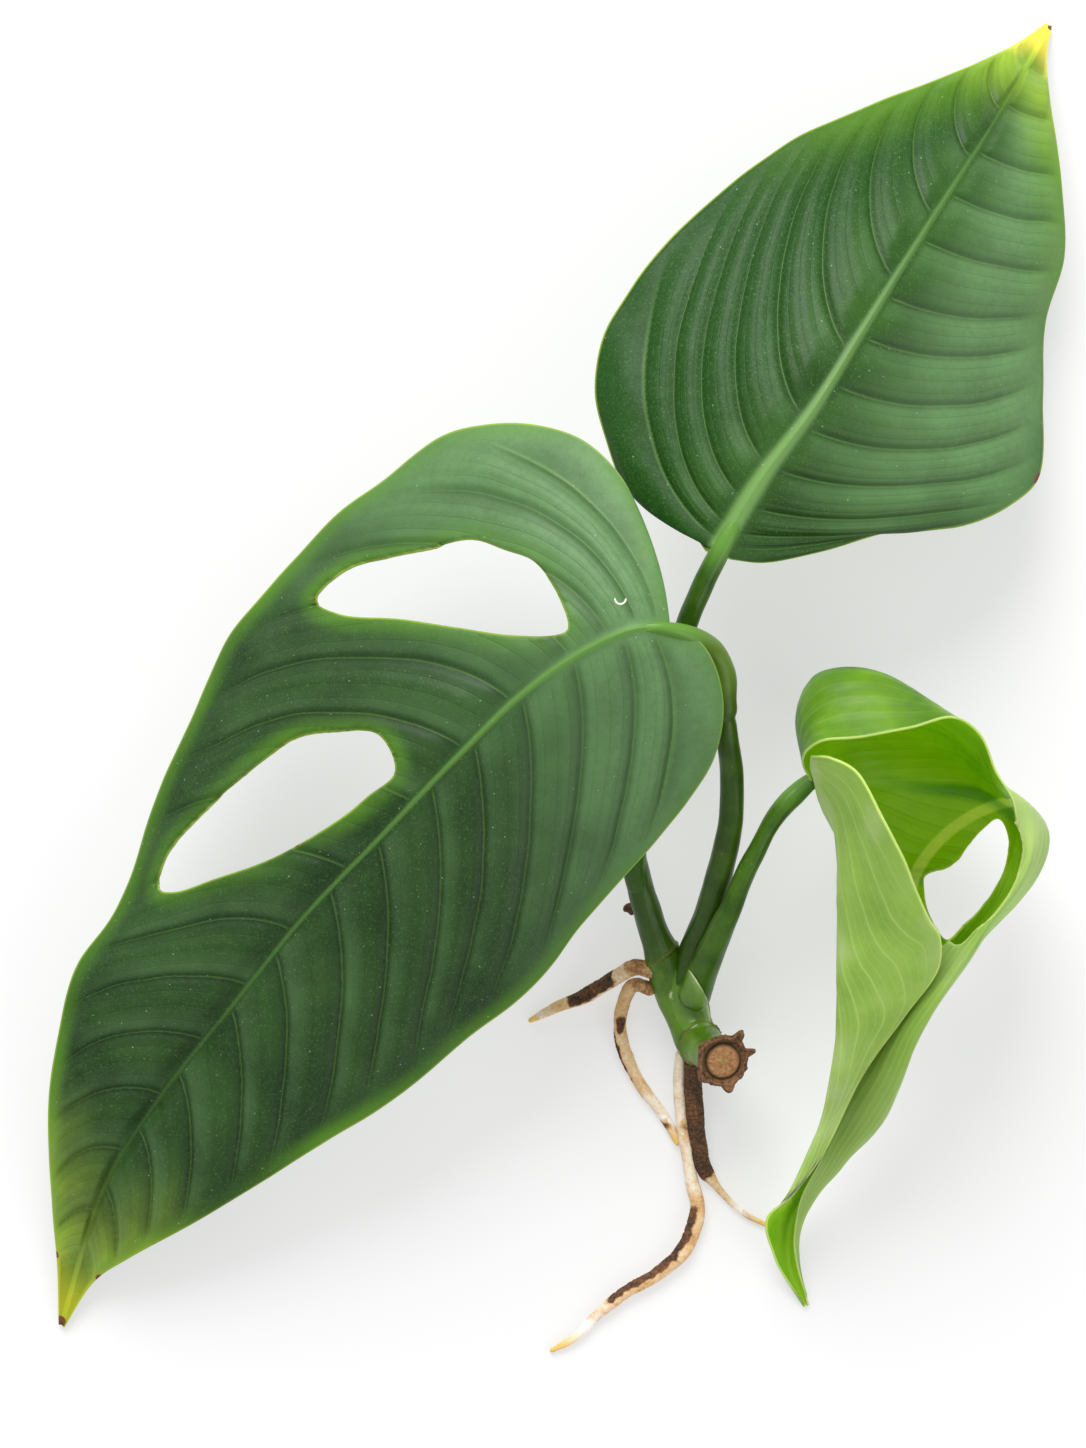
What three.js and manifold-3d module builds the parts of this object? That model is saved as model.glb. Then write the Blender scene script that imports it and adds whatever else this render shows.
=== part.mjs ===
// A rooted cutting of a monstera vine: one short piece of stem that carries two grown leaves,
// a young leaf that is still furled, and four roots. All of it grew as one plant, so nothing turns
// or slides.
//
// Frame: millimetres, +Z up. The cutting lies on the plane z = 0 with its roots towards -Y and the
// tip of the largest standing leaf towards +X +Y. The origin is under the middle of its bounding box.
// "Left" and "right" of a blade are those of someone who looks from its base to its tip, from above.
import * as THREE from 'three';
import Module from 'manifold-3d';
import { mergeVertices } from 'three/addons/utils/BufferGeometryUtils.js';

const wasm = await Module();
wasm.setup();

// ---- Driving dimensions ----------------------------------------------------------------------
const GAP = 0.3;               // left between two pieces that touch
const BLADE_THICKNESS = 0.6;   // of a grown blade between its veins
const YOUNG_THICKNESS = 0.5;   // of the furled blade
const RIB_WIDTH = 1.6;         // half width of the midrib that stands out under a blade
const RIB_BASE_DEPTH = 1.8;    // how far the midrib stands out at the blade's base
const RIB_TIP_DEPTH = 0.2;     // and at its tip
const VEIN_BOW = 0.12;         // side veins bow towards the base by this share of their length
const SPLIT_ARCH = 0.1;        // rise of the split blade's halves, as a share of a vein's length
const WHOLE_ARCH = 0.09;       // the same for the whole blade
const CUTTER_HEIGHT = 90;      // taller than anything on the cutting

const BLADE_COLUMNS = [1, 0.8, 0.58, 0.36, 0.18, 0.06];   // shares of the way from midrib to margin
const SPLIT_ROWS = 32;
const WHOLE_ROWS = 26;
const YOUNG_ROWS_PER_STATION = 2;
const YOUNG_COLUMNS_PER_GUIDE = 3;

// ---- The split leaf: its blade has two long gaps between the midrib and the right margin -------
const SPLIT_BLADE = {
  midrib: [
    [20, 9.5, 57], [14, 9.5, 59], [5.5, 6, 58], [-5.5, -1.5, 55], [-18, -13.5, 50], [-31, -27, 43],
    [-45, -41.5, 35], [-58.5, -58, 26], [-72.5, -75.5, 17], [-83, -92, 10], [-92, -119, 1],
  ],
  left: [
    [21.5, 9, 56], [25, 7.5, 55], [28, 3, 53], [29.5, -4.5, 51], [28, -13, 48], [24, -20, 44],
    [15.5, -30.5, 40], [5, -42.5, 36], [-4.5, -54.5, 33], [-16, -64, 30], [-28.5, -74.5, 27],
    [-46.5, -86, 22], [-64.5, -97.5, 16], [-78.5, -105.5, 10], [-85.5, -110.5, 5],
    [-91.5, -119.5, 1.2],
  ],
  right: [
    [19, 11, 56], [17.5, 17.5, 54], [15, 29, 51], [11.5, 36.5, 49], [5, 43, 46], [-3, 46, 43],
    [-11.5, 46.5, 40], [-20.5, 44.5, 37], [-30.5, 37, 34], [-40.5, 29.5, 31], [-50, 19.5, 28],
    [-59.5, 8.5, 25], [-66.5, -6.5, 23], [-73, -21, 21], [-80, -40.5, 19], [-87.5, -51, 17],
    [-91.5, -64, 14], [-93.5, -79, 11], [-93, -95, 8], [-92.5, -107.5, 4], [-92.5, -119, 1.2],
  ],
};
const UPPER_GAP = [
  [-43, 15], [-37.5, 20.5], [-30, 22.5], [-22.5, 24], [-15, 25.5], [-9, 23.5], [-4, 21.5],
  [-0.5, 17], [2, 9.5], [0, 8.5], [-8, 8.5], [-18, 10], [-27.5, 11.5], [-38.5, 12.5],
];
const LOWER_GAP = [
  [-72, -37], [-70.5, -31], [-63, -22.5], [-53.5, -14.5], [-46, -9.5], [-39.5, -8.5],
  [-31.5, -9], [-28.5, -15.5], [-33.5, -20], [-38.5, -24], [-50.5, -31], [-61.5, -35], [-69, -37.5],
];

// ---- The whole leaf: a plain, heart-shaped blade ------------------------------------------------
const WHOLE_BLADE = {
  midrib: [
    [28.5, 23.5, 46], [36.5, 36.5, 48], [45.5, 48.5, 48], [54, 62, 45], [62.5, 75.5, 39],
    [70.5, 88, 31], [79, 101, 21], [87.5, 115, 9], [92, 123, 1],
  ],
  left: [
    [26.5, 23.5, 45], [24, 27, 43], [19, 30, 41], [13, 34, 39], [9, 43, 37], [7, 52.5, 35],
    [8.5, 62, 34], [12.5, 69.5, 33], [19.5, 79, 32], [28.5, 88, 30], [41.5, 98, 27],
    [56.5, 105.5, 22], [72, 112, 15], [84, 118, 7], [91.5, 123.5, 0.9],
  ],
  right: [
    [31, 22, 45], [37, 21.5, 43], [47, 23.5, 40], [59.5, 27, 35], [73, 28.5, 29], [82.5, 32.5, 23],
    [88.5, 38.5, 17], [89.5, 52.5, 14], [90, 67, 13], [93.5, 79, 13], [93, 93, 12],
    [91.5, 106, 9], [91, 115.5, 5], [92.5, 123, 0.9],
  ],
};

// ---- The young leaf: a blade furled into a funnel that turns back and closes into a roll --------
// Seven guide lines run from its base to its tip, from the left margin over the midrib, which lies
// at the bottom of the funnel, to the right margin. Their points are level with each other.
const YOUNG_GUIDES = [
  [   // left margin: the rim of the hood, then the inner edge of the roll
    [44, -12, 51], [47, -10, 57], [53.5, -9.5, 58], [61.5, -8, 58], [69, -6, 56], [74.5, -9, 50],
    [77.5, -15, 46], [80, -21.5, 43], [80.5, -31.5, 41], [72.5, -45, 39], [62.5, -61, 36],
    [58, -74.5, 31], [52, -86, 20], [46, -97, 9], [45, -107, 4.5], [47, -115, 0.8],
  ],
  [   // hood
    [44, -14, 44], [43, -5.5, 44], [46.5, 1.5, 45], [55, 2.5, 46], [65.5, -3, 47], [75.5, -11.5, 42],
    [78.5, -17.5, 42], [83.5, -21.5, 41], [84, -31, 43], [75.5, -44.5, 42], [65.5, -60.5, 38],
    [59, -76.5, 27], [52.5, -87, 17], [46, -98, 7], [45, -107, 3.5], [47, -115.5, 0.75],
  ],
  [   // wall between the hood and the midrib
    [45.5, -16.5, 36], [45.5, -12, 30], [51.5, -9, 23], [62, -9, 21], [71.5, -11, 23], [78.5, -17, 28],
    [82, -21, 28], [88.5, -26, 30], [86.5, -34.5, 31], [75.5, -47, 31], [65, -63, 28], [59, -80, 20],
    [51, -89.5, 12], [45, -99, 5], [44, -107, 2.5], [47, -115.5, 0.7],
  ],
  [   // midrib
    [47, -18.5, 28], [51.5, -18.5, 20], [58.5, -18, 16], [68.5, -19, 15], [77.5, -20, 16],
    [82.5, -23, 18], [85.5, -26.5, 17], [86.5, -30, 18], [83, -39, 18], [73, -51, 17], [63.5, -67, 15],
    [55.5, -82, 12], [48, -91.5, 8], [43.5, -100, 4], [43.5, -107.5, 2], [46.5, -115.5, 0.7],
  ],
  [   // wall between the midrib and the flap
    [46.5, -17, 36], [48.5, -22, 30], [53.5, -28, 22], [61, -33.5, 18], [71, -34, 19], [77, -35.5, 19],
    [77, -39, 18], [76.5, -42, 18], [72, -49.5, 17], [64.5, -61.5, 15], [56, -74, 13], [49, -86.5, 11],
    [44, -94.5, 9], [41.5, -99.5, 6], [42.5, -107, 2.5], [46.5, -115.5, 0.7],
  ],
  [   // flap: its fold is the left outline of the leaf seen from above
    [45.5, -15, 43], [47, -18.5, 46], [49, -23, 44], [50.5, -31.5, 38], [50.5, -39.5, 37],
    [50.5, -47.5, 36], [50.5, -52.5, 36], [50.5, -56.5, 35], [50.5, -64, 33], [49.5, -72, 30],
    [48, -80, 25], [43.5, -91.5, 19], [41, -96, 14], [40, -99, 9], [41.5, -107, 4],
    [46.5, -115.5, 0.75],
  ],
  [   // right margin: the free edge of the flap
    [45, -12.5, 51], [48, -13, 58], [52.5, -15.5, 60], [57, -23.5, 60], [61, -31, 57], [64, -37.5, 51],
    [66, -41.5, 48], [68, -44.5, 46], [68, -50.5, 42], [62.5, -59, 37], [55, -71, 31], [49, -84.5, 24],
    [43.5, -93, 19], [39, -98, 13], [41, -106.5, 5.5], [46.5, -115, 0.8],
  ],
];
const YOUNG_GAP = [
  [67.5, -34.5], [71, -33.5], [73.5, -32], [75, -30], [78, -26.5], [81, -24.5], [83, -28.5], [82, -34],
  [78, -40.5], [74.5, -44], [71.5, -46.5], [68, -42], [67, -38],
];

// ---- Stem, leaf stalks and roots: a centre line, and radii at shares of its length --------------
const STEM = {
  line: [
    [30.5, -68.5, 21], [29.5, -68, 16.5], [28, -67, 11.5], [26, -65, 7], [24, -59.5, 5.2],
    [21.5, -53.5, 6.5], [18.5, -46.5, 11], [16.5, -40.5, 14.5], [15, -34.5, 18],
  ],
  radii: [[0, 4], [0.2, 3.7], [0.27, 4.2], [0.33, 3.9], [0.45, 4.5], [0.56, 4.2], [0.72, 2.7], [1, 2.5]],
};
const SPLIT_STALK = {
  line: [
    [24, -58, 7], [25, -51, 10], [28, -41.5, 18], [30, -33, 25], [31.5, -24.5, 31], [31.5, -16, 36],
    [30.5, -9, 41], [30, -3, 44], [29.5, 2, 46.5], [27.5, 6, 49.5], [24.5, 8, 52.8], [22, 9, 54.4],
  ],
  radii: [[0, 3.3], [0.2, 2.6], [0.6, 2.1], [0.8, 2.3], [0.95, 1.9], [1, 1.5]],
};
const WHOLE_STALK = {
  line: [
    [14.5, -34, 18.8], [14.5, -26.5, 24], [16.5, -15.5, 30], [19, -3, 36], [22, 7, 40], [24.5, 14, 43],
    [27, 19.5, 44.6], [28, 22, 44.8],
  ],
  radii: [[0, 2.3], [0.5, 1.9], [0.9, 1.8], [1, 1.4]],
};
const YOUNG_STALK = {
  line: [
    [25, -59, 9], [27, -52.5, 14], [29.5, -46, 20], [32, -40, 25], [34.5, -33.5, 28],
    [36.5, -29.5, 29.5], [38.5, -25.5, 30], [41, -22, 30], [43.5, -20.5, 29], [46, -19.5, 27.5],
  ],
  radii: [[0, 3.2], [0.25, 2.6], [0.5, 1.9], [0.8, 1.6], [1, 1.6]],
};
const ROOTS = {
  root_short: {
    line: [
      [18.5, -53, 8.5], [15, -52, 8.5], [12, -53.5, 6.5], [9, -55.5, 4], [5, -58, 2.4],
      [1, -59.5, 1.8], [-5, -62.5, 0.7],
    ],
    radii: [[0, 1.5], [0.6, 1.3], [0.9, 0.8], [1, 0.4]],
  },
  root_looped: {
    line: [
      [18.5, -56.5, 6], [14.5, -55.5, 6], [12.5, -59.5, 4], [12, -64, 2.3], [13.5, -69.5, 1.4],
      [16, -74.5, 1.2], [19, -78, 1.1], [21.5, -81, 0.9],
    ],
    radii: [[0, 1.3], [0.5, 1.2], [0.9, 1], [1, 0.7]],
  },
  root_dark: {
    line: [
      [25.5, -68.5, 6], [25.5, -74, 4.2], [26, -80, 2.9], [26.5, -85, 2.2], [27.5, -89.5, 1.8],
      [29.5, -92.5, 1.3], [32, -95.5, 0.9], [35.5, -98.5, 0.8], [39.5, -100.5, 0.65],
    ],
    radii: [[0, 1.9], [0.3, 1.9], [0.6, 1.7], [0.72, 0.9], [0.8, 0.6], [1, 0.4]],
  },
  root_long: {
    line: [
      [23.5, -67.5, 5], [23, -73, 3.4], [23.5, -80, 2.2], [24.5, -86.5, 1.8], [25.5, -92.5, 1.7],
      [26.5, -97, 1.7], [25.5, -101.5, 1.6], [23.5, -105.5, 1.5], [19, -109.5, 1.4], [13, -113, 1.3],
      [8, -117, 1.1], [3.5, -121.5, 0.9], [-1, -124, 0.6],
    ],
    radii: [[0, 1.5], [0.5, 1.45], [0.8, 1.1], [0.95, 0.7], [1, 0.35]],
  },
};
const BUD = {
  line: [[15, -41.5, 12.5], [13.5, -41, 12], [12.5, -41.5, 11.7]],
  radii: [[0, 1.2], [0.7, 0.9], [1, 0.3]],
};

// ---- Curves and bodies ----------------------------------------------------------------------------
function through(points) {
  const curve = new THREE.CatmullRomCurve3(points.map((p) => new THREE.Vector3(...p)), false, 'centripetal');
  curve.arcLengthDivisions = 600;
  return curve;
}

// Value at share t of a list of [share, value] pairs.
function between(pairs, t) {
  const last = pairs.findIndex(([share]) => share >= t);
  if (last <= 0) return pairs[0][1];
  const [t0, a] = pairs[last - 1];
  const [t1, b] = pairs[last];
  return a + (b - a) * (t - t0) / (t1 - t0);
}

function indexed(vertices, triangles) {
  const geometry = new THREE.BufferGeometry();
  geometry.setAttribute('position', new THREE.Float32BufferAttribute(vertices.flatMap((p) => [p.x, p.y, p.z]), 3));
  geometry.setIndex(triangles);
  return geometry;
}

// A round, tapering tube with flat ends. extra widens it all over, for a cutter.
function tube({ line, radii }, sides, steps, extra = 0) {
  const curve = through(line);
  const { normals, binormals } = curve.computeFrenetFrames(steps, false);
  const vertices = [];
  for (let i = 0; i <= steps; i++) {
    const centre = curve.getPointAt(i / steps);
    const radius = between(radii, i / steps) + extra;
    for (let k = 0; k < sides; k++) {
      const angle = 2 * Math.PI * k / sides;
      vertices.push(centre.clone()
        .addScaledVector(normals[i], radius * Math.cos(angle))
        .addScaledVector(binormals[i], radius * Math.sin(angle)));
    }
  }
  const triangles = [];
  for (let i = 0; i < steps; i++) {
    for (let k = 0; k < sides; k++) {
      const a = i * sides + k;
      const b = i * sides + (k + 1) % sides;
      triangles.push(a, b, a + sides, b, b + sides, a + sides);
    }
  }
  const start = vertices.push(curve.getPointAt(0)) - 1;
  const end = vertices.push(curve.getPointAt(1)) - 1;
  for (let k = 0; k < sides; k++) {
    const next = (k + 1) % sides;
    triangles.push(start, next, k, end, steps * sides + k, steps * sides + next);
  }
  return indexed(vertices, triangles);
}

// A closed sheet under a grid of points, grid[row][column]. depthAt gives its thickness.
function sheet(grid, depthAt, lift = 0) {
  const rows = grid.length;
  const columns = grid[0].length;
  const clamp = (value, top) => Math.min(Math.max(value, 0), top);
  const point = (i, j) => grid[clamp(i, rows - 1)][clamp(j, columns - 1)];
  const upper = [];
  const lower = [];
  for (let i = 0; i < rows; i++) {
    for (let j = 0; j < columns; j++) {
      const across = point(i, j + 1).clone().sub(point(i, j - 1));
      const along = point(i + 1, j).clone().sub(point(i - 1, j));
      const normal = across.cross(along).normalize();
      upper.push(point(i, j).clone().addScaledVector(normal, lift));
      lower.push(point(i, j).clone().addScaledVector(normal, -depthAt(i, j) - lift));
    }
  }
  const size = rows * columns;
  const triangles = [];
  for (let i = 0; i < rows - 1; i++) {
    for (let j = 0; j < columns - 1; j++) {
      const a = i * columns + j;
      const [b, c, d] = [a + 1, a + columns, a + columns + 1];
      triangles.push(a, b, c, b, d, c);
      triangles.push(size + a, size + c, size + b, size + b, size + c, size + d);
    }
  }
  const rim = [];
  for (let j = 0; j < columns - 1; j++) rim.push(j);
  for (let i = 0; i < rows - 1; i++) rim.push(i * columns + columns - 1);
  for (let j = columns - 1; j > 0; j--) rim.push((rows - 1) * columns + j);
  for (let i = rows - 1; i > 0; i--) rim.push(i * columns);
  rim.forEach((p, k) => {
    const q = rim[(k + 1) % rim.length];
    triangles.push(q, p, size + p, q, size + p, size + q);
  });
  return indexed([...upper, ...lower], triangles);
}

// ---- Booleans -------------------------------------------------------------------------------------
function solid(geometry) {
  return new wasm.Manifold(new wasm.Mesh({
    numProp: 3,
    vertProperties: new Float32Array(geometry.getAttribute('position').array),
    triVerts: new Uint32Array(geometry.getIndex().array),
  }));
}

// The largest piece that is left of body when every cutter is taken away.
function carved(body, cutters) {
  const left = cutters.reduce((rest, cutter) => rest.subtract(solid(cutter)), solid(body));
  const pieces = left.decompose().sort((a, b) => b.volume() - a.volume());
  const mesh = pieces[0].getMesh();
  const geometry = new THREE.BufferGeometry();
  geometry.setAttribute('position', new THREE.BufferAttribute(new Float32Array(mesh.vertProperties), 3));
  geometry.setIndex(new THREE.BufferAttribute(new Uint32Array(mesh.triVerts), 1));
  return geometry;
}

// An upright prism over a smooth closed outline.
function prism(outline) {
  const points = outline.map(([x, y]) => new THREE.Vector3(x, y, 0));
  const loop = new THREE.CatmullRomCurve3(points, true, 'centripetal');
  const corners = loop.getPoints(outline.length * 3).slice(0, -1);
  const shape = new THREE.Shape(corners.map((p) => new THREE.Vector2(p.x, p.y)));
  const geometry = new THREE.ExtrudeGeometry(shape, { depth: CUTTER_HEIGHT, bevelEnabled: false });
  geometry.deleteAttribute('normal');
  geometry.deleteAttribute('uv');
  return mergeVertices(geometry);
}

// ---- Grown blades -----------------------------------------------------------------------------------
// A row of the blade follows a pair of side veins: it leaves the midrib, bows towards the base and
// reaches each margin further towards the tip. v runs from 0 at the base to 1 at the tip.
function bladeGrid(blade, rows, arch) {
  const midrib = through(blade.midrib);
  const grid = [];
  for (let i = 0; i <= rows; i++) {
    const v = i / rows;
    const foot = v ** (2.4 - 1.2 * v);
    const centre = midrib.getPointAt(foot);
    const forward = midrib.getTangentAt(foot);
    const half = (margin) => {
      const end = through(margin).getPointAt(v);
      const length = centre.distanceTo(end);
      const middle = centre.clone().lerp(end, 0.5)
        .addScaledVector(forward, -VEIN_BOW * length)
        .add(new THREE.Vector3(0, 0, arch * length));
      const vein = new THREE.QuadraticBezierCurve3(centre, middle, end);
      return BLADE_COLUMNS.map((share) => vein.getPoint(share));
    };
    grid.push([...half(blade.left), centre, ...half(blade.right).reverse()]);
  }
  return grid;
}

function grownBlade(blade, rows, arch, lift = 0) {
  const grid = bladeGrid(blade, rows, arch);
  const middle = BLADE_COLUMNS.length;
  const depthAt = (i, j) => {
    const aside = grid[i][j].distanceTo(grid[i][middle]) / RIB_WIDTH;
    const rib = THREE.MathUtils.lerp(RIB_BASE_DEPTH, RIB_TIP_DEPTH, i / rows);
    return BLADE_THICKNESS + rib * Math.exp(-aside * aside);
  };
  return sheet(grid, depthAt, lift);
}

// ---- The furled blade -------------------------------------------------------------------------------
function youngBlade(lift = 0) {
  const guides = YOUNG_GUIDES.map(through);
  const rows = (YOUNG_GUIDES[0].length - 1) * YOUNG_ROWS_PER_STATION;
  const columns = (YOUNG_GUIDES.length - 1) * YOUNG_COLUMNS_PER_GUIDE;
  const grid = [];
  for (let i = 0; i <= rows; i++) {
    const across = new THREE.CatmullRomCurve3(guides.map((guide) => guide.getPoint(i / rows)), false, 'centripetal');
    grid.push(across.getPoints(columns));
  }
  return sheet(grid, () => YOUNG_THICKNESS, lift);
}

// ---- The cutting ------------------------------------------------------------------------------------
const cutting = new THREE.Group();

function add(name, geometry, colour, roughness) {
  const mesh = new THREE.Mesh(geometry, new THREE.MeshStandardMaterial({ color: colour, roughness, metalness: 0 }));
  mesh.name = name;
  cutting.add(mesh);
}

const stemRoom = tube(STEM, 12, 20, GAP);
add('stem', tube(STEM, 12, 20), '#4c7019', 0.5);

const splitBlade = grownBlade(SPLIT_BLADE, SPLIT_ROWS, SPLIT_ARCH);
add('blade_split', carved(splitBlade, [prism(UPPER_GAP), prism(LOWER_GAP)]), '#4e694b', 0.45);
add('blade_whole', grownBlade(WHOLE_BLADE, WHOLE_ROWS, WHOLE_ARCH), '#56754c', 0.45);
add('blade_young', carved(youngBlade(), [prism(YOUNG_GAP)]), '#8cb351', 0.4);

const splitRoom = grownBlade(SPLIT_BLADE, SPLIT_ROWS, SPLIT_ARCH, GAP);
const splitStalk = carved(tube(SPLIT_STALK, 10, 20), [stemRoom, splitRoom]);
add('stalk_split', splitStalk, '#2f4714', 0.45);

const wholeRoom = grownBlade(WHOLE_BLADE, WHOLE_ROWS, WHOLE_ARCH, GAP);
add('stalk_whole', carved(tube(WHOLE_STALK, 10, 16), [stemRoom, wholeRoom]), '#446818', 0.45);

const splitStalkRoom = tube(SPLIT_STALK, 10, 20, GAP);
add('stalk_young', carved(tube(YOUNG_STALK, 10, 16), [stemRoom, splitStalkRoom, youngBlade(GAP)]), '#677c46', 0.45);

const taken = [stemRoom];
for (const [name, root] of Object.entries(ROOTS)) {
  add(name, carved(tube(root, 8, 22), taken), name === 'root_dark' ? '#6b4a34' : '#d8c3a3', 0.7);
  taken.push(tube(root, 8, 22, GAP));
}
add('root_bud', carved(tube(BUD, 8, 6), [stemRoom]), '#6b4a34', 0.8);

export default cutting;
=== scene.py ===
"""A rooted cutting of a monstera vine, laid on a pale table under soft daylight.

One short stem carries a leaf with two long gaps, a plain leaf and a young leaf that is still furled,
and four roots trail from it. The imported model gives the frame: metres, +Z up, the table at z = 0.
Lengths in this file are metres, and millimetres where they are multiplied by MM.
"""

import bmesh
import bpy
import numpy as np
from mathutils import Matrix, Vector, kdtree, noise


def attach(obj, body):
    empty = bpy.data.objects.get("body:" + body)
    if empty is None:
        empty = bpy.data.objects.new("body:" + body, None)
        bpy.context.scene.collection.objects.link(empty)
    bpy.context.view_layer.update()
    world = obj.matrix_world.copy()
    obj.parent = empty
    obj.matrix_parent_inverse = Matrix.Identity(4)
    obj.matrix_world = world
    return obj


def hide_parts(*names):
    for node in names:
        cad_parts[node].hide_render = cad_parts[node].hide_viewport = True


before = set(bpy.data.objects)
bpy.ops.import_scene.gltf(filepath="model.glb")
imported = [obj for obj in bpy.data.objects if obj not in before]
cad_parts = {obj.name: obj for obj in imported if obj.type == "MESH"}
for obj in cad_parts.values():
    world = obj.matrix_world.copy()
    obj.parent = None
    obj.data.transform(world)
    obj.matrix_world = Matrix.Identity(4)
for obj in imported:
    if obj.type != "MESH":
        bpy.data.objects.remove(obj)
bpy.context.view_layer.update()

# ---- The split leaf's blade ----------------------------------------------------------------------
# A leathery, dark green sheet half a millimetre thick, with two long gaps between its midrib and its
# right margin. It grows in one piece: the midrib is a sunken channel above and a rib underneath, and
# each side vein is a shallow groove between two softly swollen panels.
MM = 0.001
SPLIT_BLADE = {
    "midrib": [
        (20, 9.5, 57), (14, 9.5, 59), (5.5, 6, 58), (-5.5, -1.5, 55), (-18, -13.5, 50), (-31, -27, 43),
        (-45, -41.5, 35), (-58.5, -58, 26), (-72.5, -75.5, 17), (-83, -92, 10), (-92, -119, 1),
    ],
    "left": [
        (21.5, 9, 56), (25, 7.5, 55), (28, 3, 53), (29.5, -4.5, 51), (28, -13, 48), (24, -20, 44),
        (15.5, -30.5, 40), (5, -42.5, 36), (-4.5, -54.5, 33), (-16, -64, 30), (-28.5, -74.5, 27),
        (-46.5, -86, 22), (-64.5, -97.5, 16), (-78.5, -105.5, 10), (-85.5, -110.5, 5),
        (-91.5, -119.5, 1.2),
    ],
    "right": [
        (19, 11, 56), (17.5, 17.5, 54), (15, 29, 51), (11.5, 36.5, 49), (5, 43, 46), (-3, 46, 43),
        (-11.5, 46.5, 40), (-20.5, 44.5, 37), (-30.5, 37, 34), (-40.5, 29.5, 31), (-50, 19.5, 28),
        (-59.5, 8.5, 25), (-66.5, -6.5, 23), (-73, -21, 21), (-80, -40.5, 19), (-87.5, -51, 17),
        (-91.5, -64, 14), (-93.5, -79, 11), (-93, -95, 8), (-92.5, -107.5, 4), (-92.5, -119, 1.2),
    ],
    "arch": 0.1,
    "left_veins": (0.17, 0.24, 0.32, 0.39, 0.45, 0.5, 0.56, 0.61, 0.67, 0.72, 0.78, 0.83, 0.88, 0.93),
    "right_veins": (0.14, 0.2, 0.26, 0.32, 0.4, 0.46, 0.52, 0.59, 0.65, 0.7, 0.75, 0.8, 0.85, 0.9, 0.94),
    "left_sweep": ((0, 0.08), (0.3, 0.1), (0.5, 0.07), (0.8, 0.05), (1, 0)),
    "right_sweep": ((0, 0.08), (0.22, 0.13), (0.3, 0.15), (0.49, 0.1), (0.8, 0.05), (1, 0)),
    "rib": ((0, 1.1), (0.2, 0.95), (0.4, 0.65), (0.6, 0.42), (0.8, 0.28), (1, 0.2)),
}
UPPER_GAP = (
    (-43, 15), (-37.5, 20.5), (-30, 22.5), (-22.5, 24), (-15, 25.5), (-9, 23.5), (-4, 21.5),
    (-0.5, 17), (2, 9.5), (0, 8.5), (-8, 8.5), (-18, 10), (-27.5, 11.5), (-38.5, 12.5),
)
LOWER_GAP = (
    (-72, -37), (-70.5, -31), (-63, -22.5), (-53.5, -14.5), (-46, -9.5), (-39.5, -8.5), (-31.5, -9),
    (-28.5, -15.5), (-33.5, -20), (-38.5, -24), (-50.5, -31), (-61.5, -35), (-69, -37.5),
)
BLADE_THICKNESS = 0.45 * MM
SPLIT_RIB_DEPTH = 1.3 * MM
VEIN_BOW = 0.12               # side veins bow towards the base by this share of their length
WIDEST_PANEL = 13 * MM        # panels that are wider than this swell no higher
VEIN_GROOVE = 0.16 * MM       # how deep a side vein lies
RIB_CHANNEL = 0.55 * MM       # how deep the midrib lies
WAVINESS = 0.6 * MM           # how far a margin waves up and down
CUT_REACH = 2.5 * MM          # how far a point moves to lie on the edge of a gap
FARTHEST_FROM_RIM = 20        # in millimetres: farther in, a blade is the same all over


def smooth_between(before, start, end, after, way):
    """Points at this share of the way along the curve from start to end, which heeds its neighbours."""
    d0, d1, d2 = (np.maximum(np.sqrt(np.linalg.norm(b - a, axis=-1)), 1e-3)[..., None]
                  for a, b in ((before, start), (start, end), (end, after)))
    leave = ((start - before) / d0 - (end - before) / (d0 + d1)) * d1 + (end - start)
    arrive = ((after - end) / d2 - (after - start) / (d1 + d2)) * d1 + (end - start)
    return start + way * (leave + way * (3 * (end - start) - 2 * leave - arrive
                                         + way * (2 * (start - end) + leave + arrive)))


def smooth_line(points, shares, by_length=True, closed=False):
    """Points on the smooth line through given ones, at shares of its length or of its spans."""
    p = np.array(points, float) * MM
    if closed:
        p = np.vstack([p[-1], p, p[:2]])
    else:
        p = np.vstack([2 * p[0] - p[1], p, 2 * p[-1] - p[-2]])
    spans = len(p) - 3

    def at(t):
        t = np.clip(t, 0, 1) * spans
        i = np.minimum(t.astype(int), spans - 1)
        return smooth_between(p[i], p[i + 1], p[i + 2], p[i + 3], (t - i)[..., None])

    shares = np.asarray(shares, float)
    if not by_length:
        return at(shares)
    t = np.linspace(0, 1, 601)
    steps = np.linalg.norm(np.diff(at(t), axis=0), axis=1)
    run = np.concatenate([[0], np.cumsum(steps)])
    return at(np.interp(shares, run / run[-1], t))


def smoothstep(low, high, x):
    """0 up to low and 1 from high, with a soft rise between, or a fall if low is larger."""
    t = np.clip((x - low) / (high - low), 0, 1)
    return t * t * (3 - 2 * t)


def soft_noise(points, size, seed=0):
    """Smooth noise from -1 to 1 with lumps about this size, at each point."""
    shift = Vector((seed * 7.31, seed * 3.17, seed * 5.71))
    return np.array([noise.noise(Vector(q) / size + shift) for q in points])


def set_points(piece, points):
    piece.data.vertices.foreach_set("co", np.ascontiguousarray(points, np.float32).ravel())
    piece.data.update()


def get_points(piece):
    points = np.zeros(len(piece.data.vertices) * 3, np.float32)
    piece.data.vertices.foreach_get("co", points)
    return points.reshape(-1, 3).astype(float)


def point_normals(piece):
    normals = np.zeros(len(piece.data.vertices) * 3, np.float32)
    piece.data.vertex_normals.foreach_get("vector", normals)
    return normals.reshape(-1, 3).astype(float)


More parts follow.
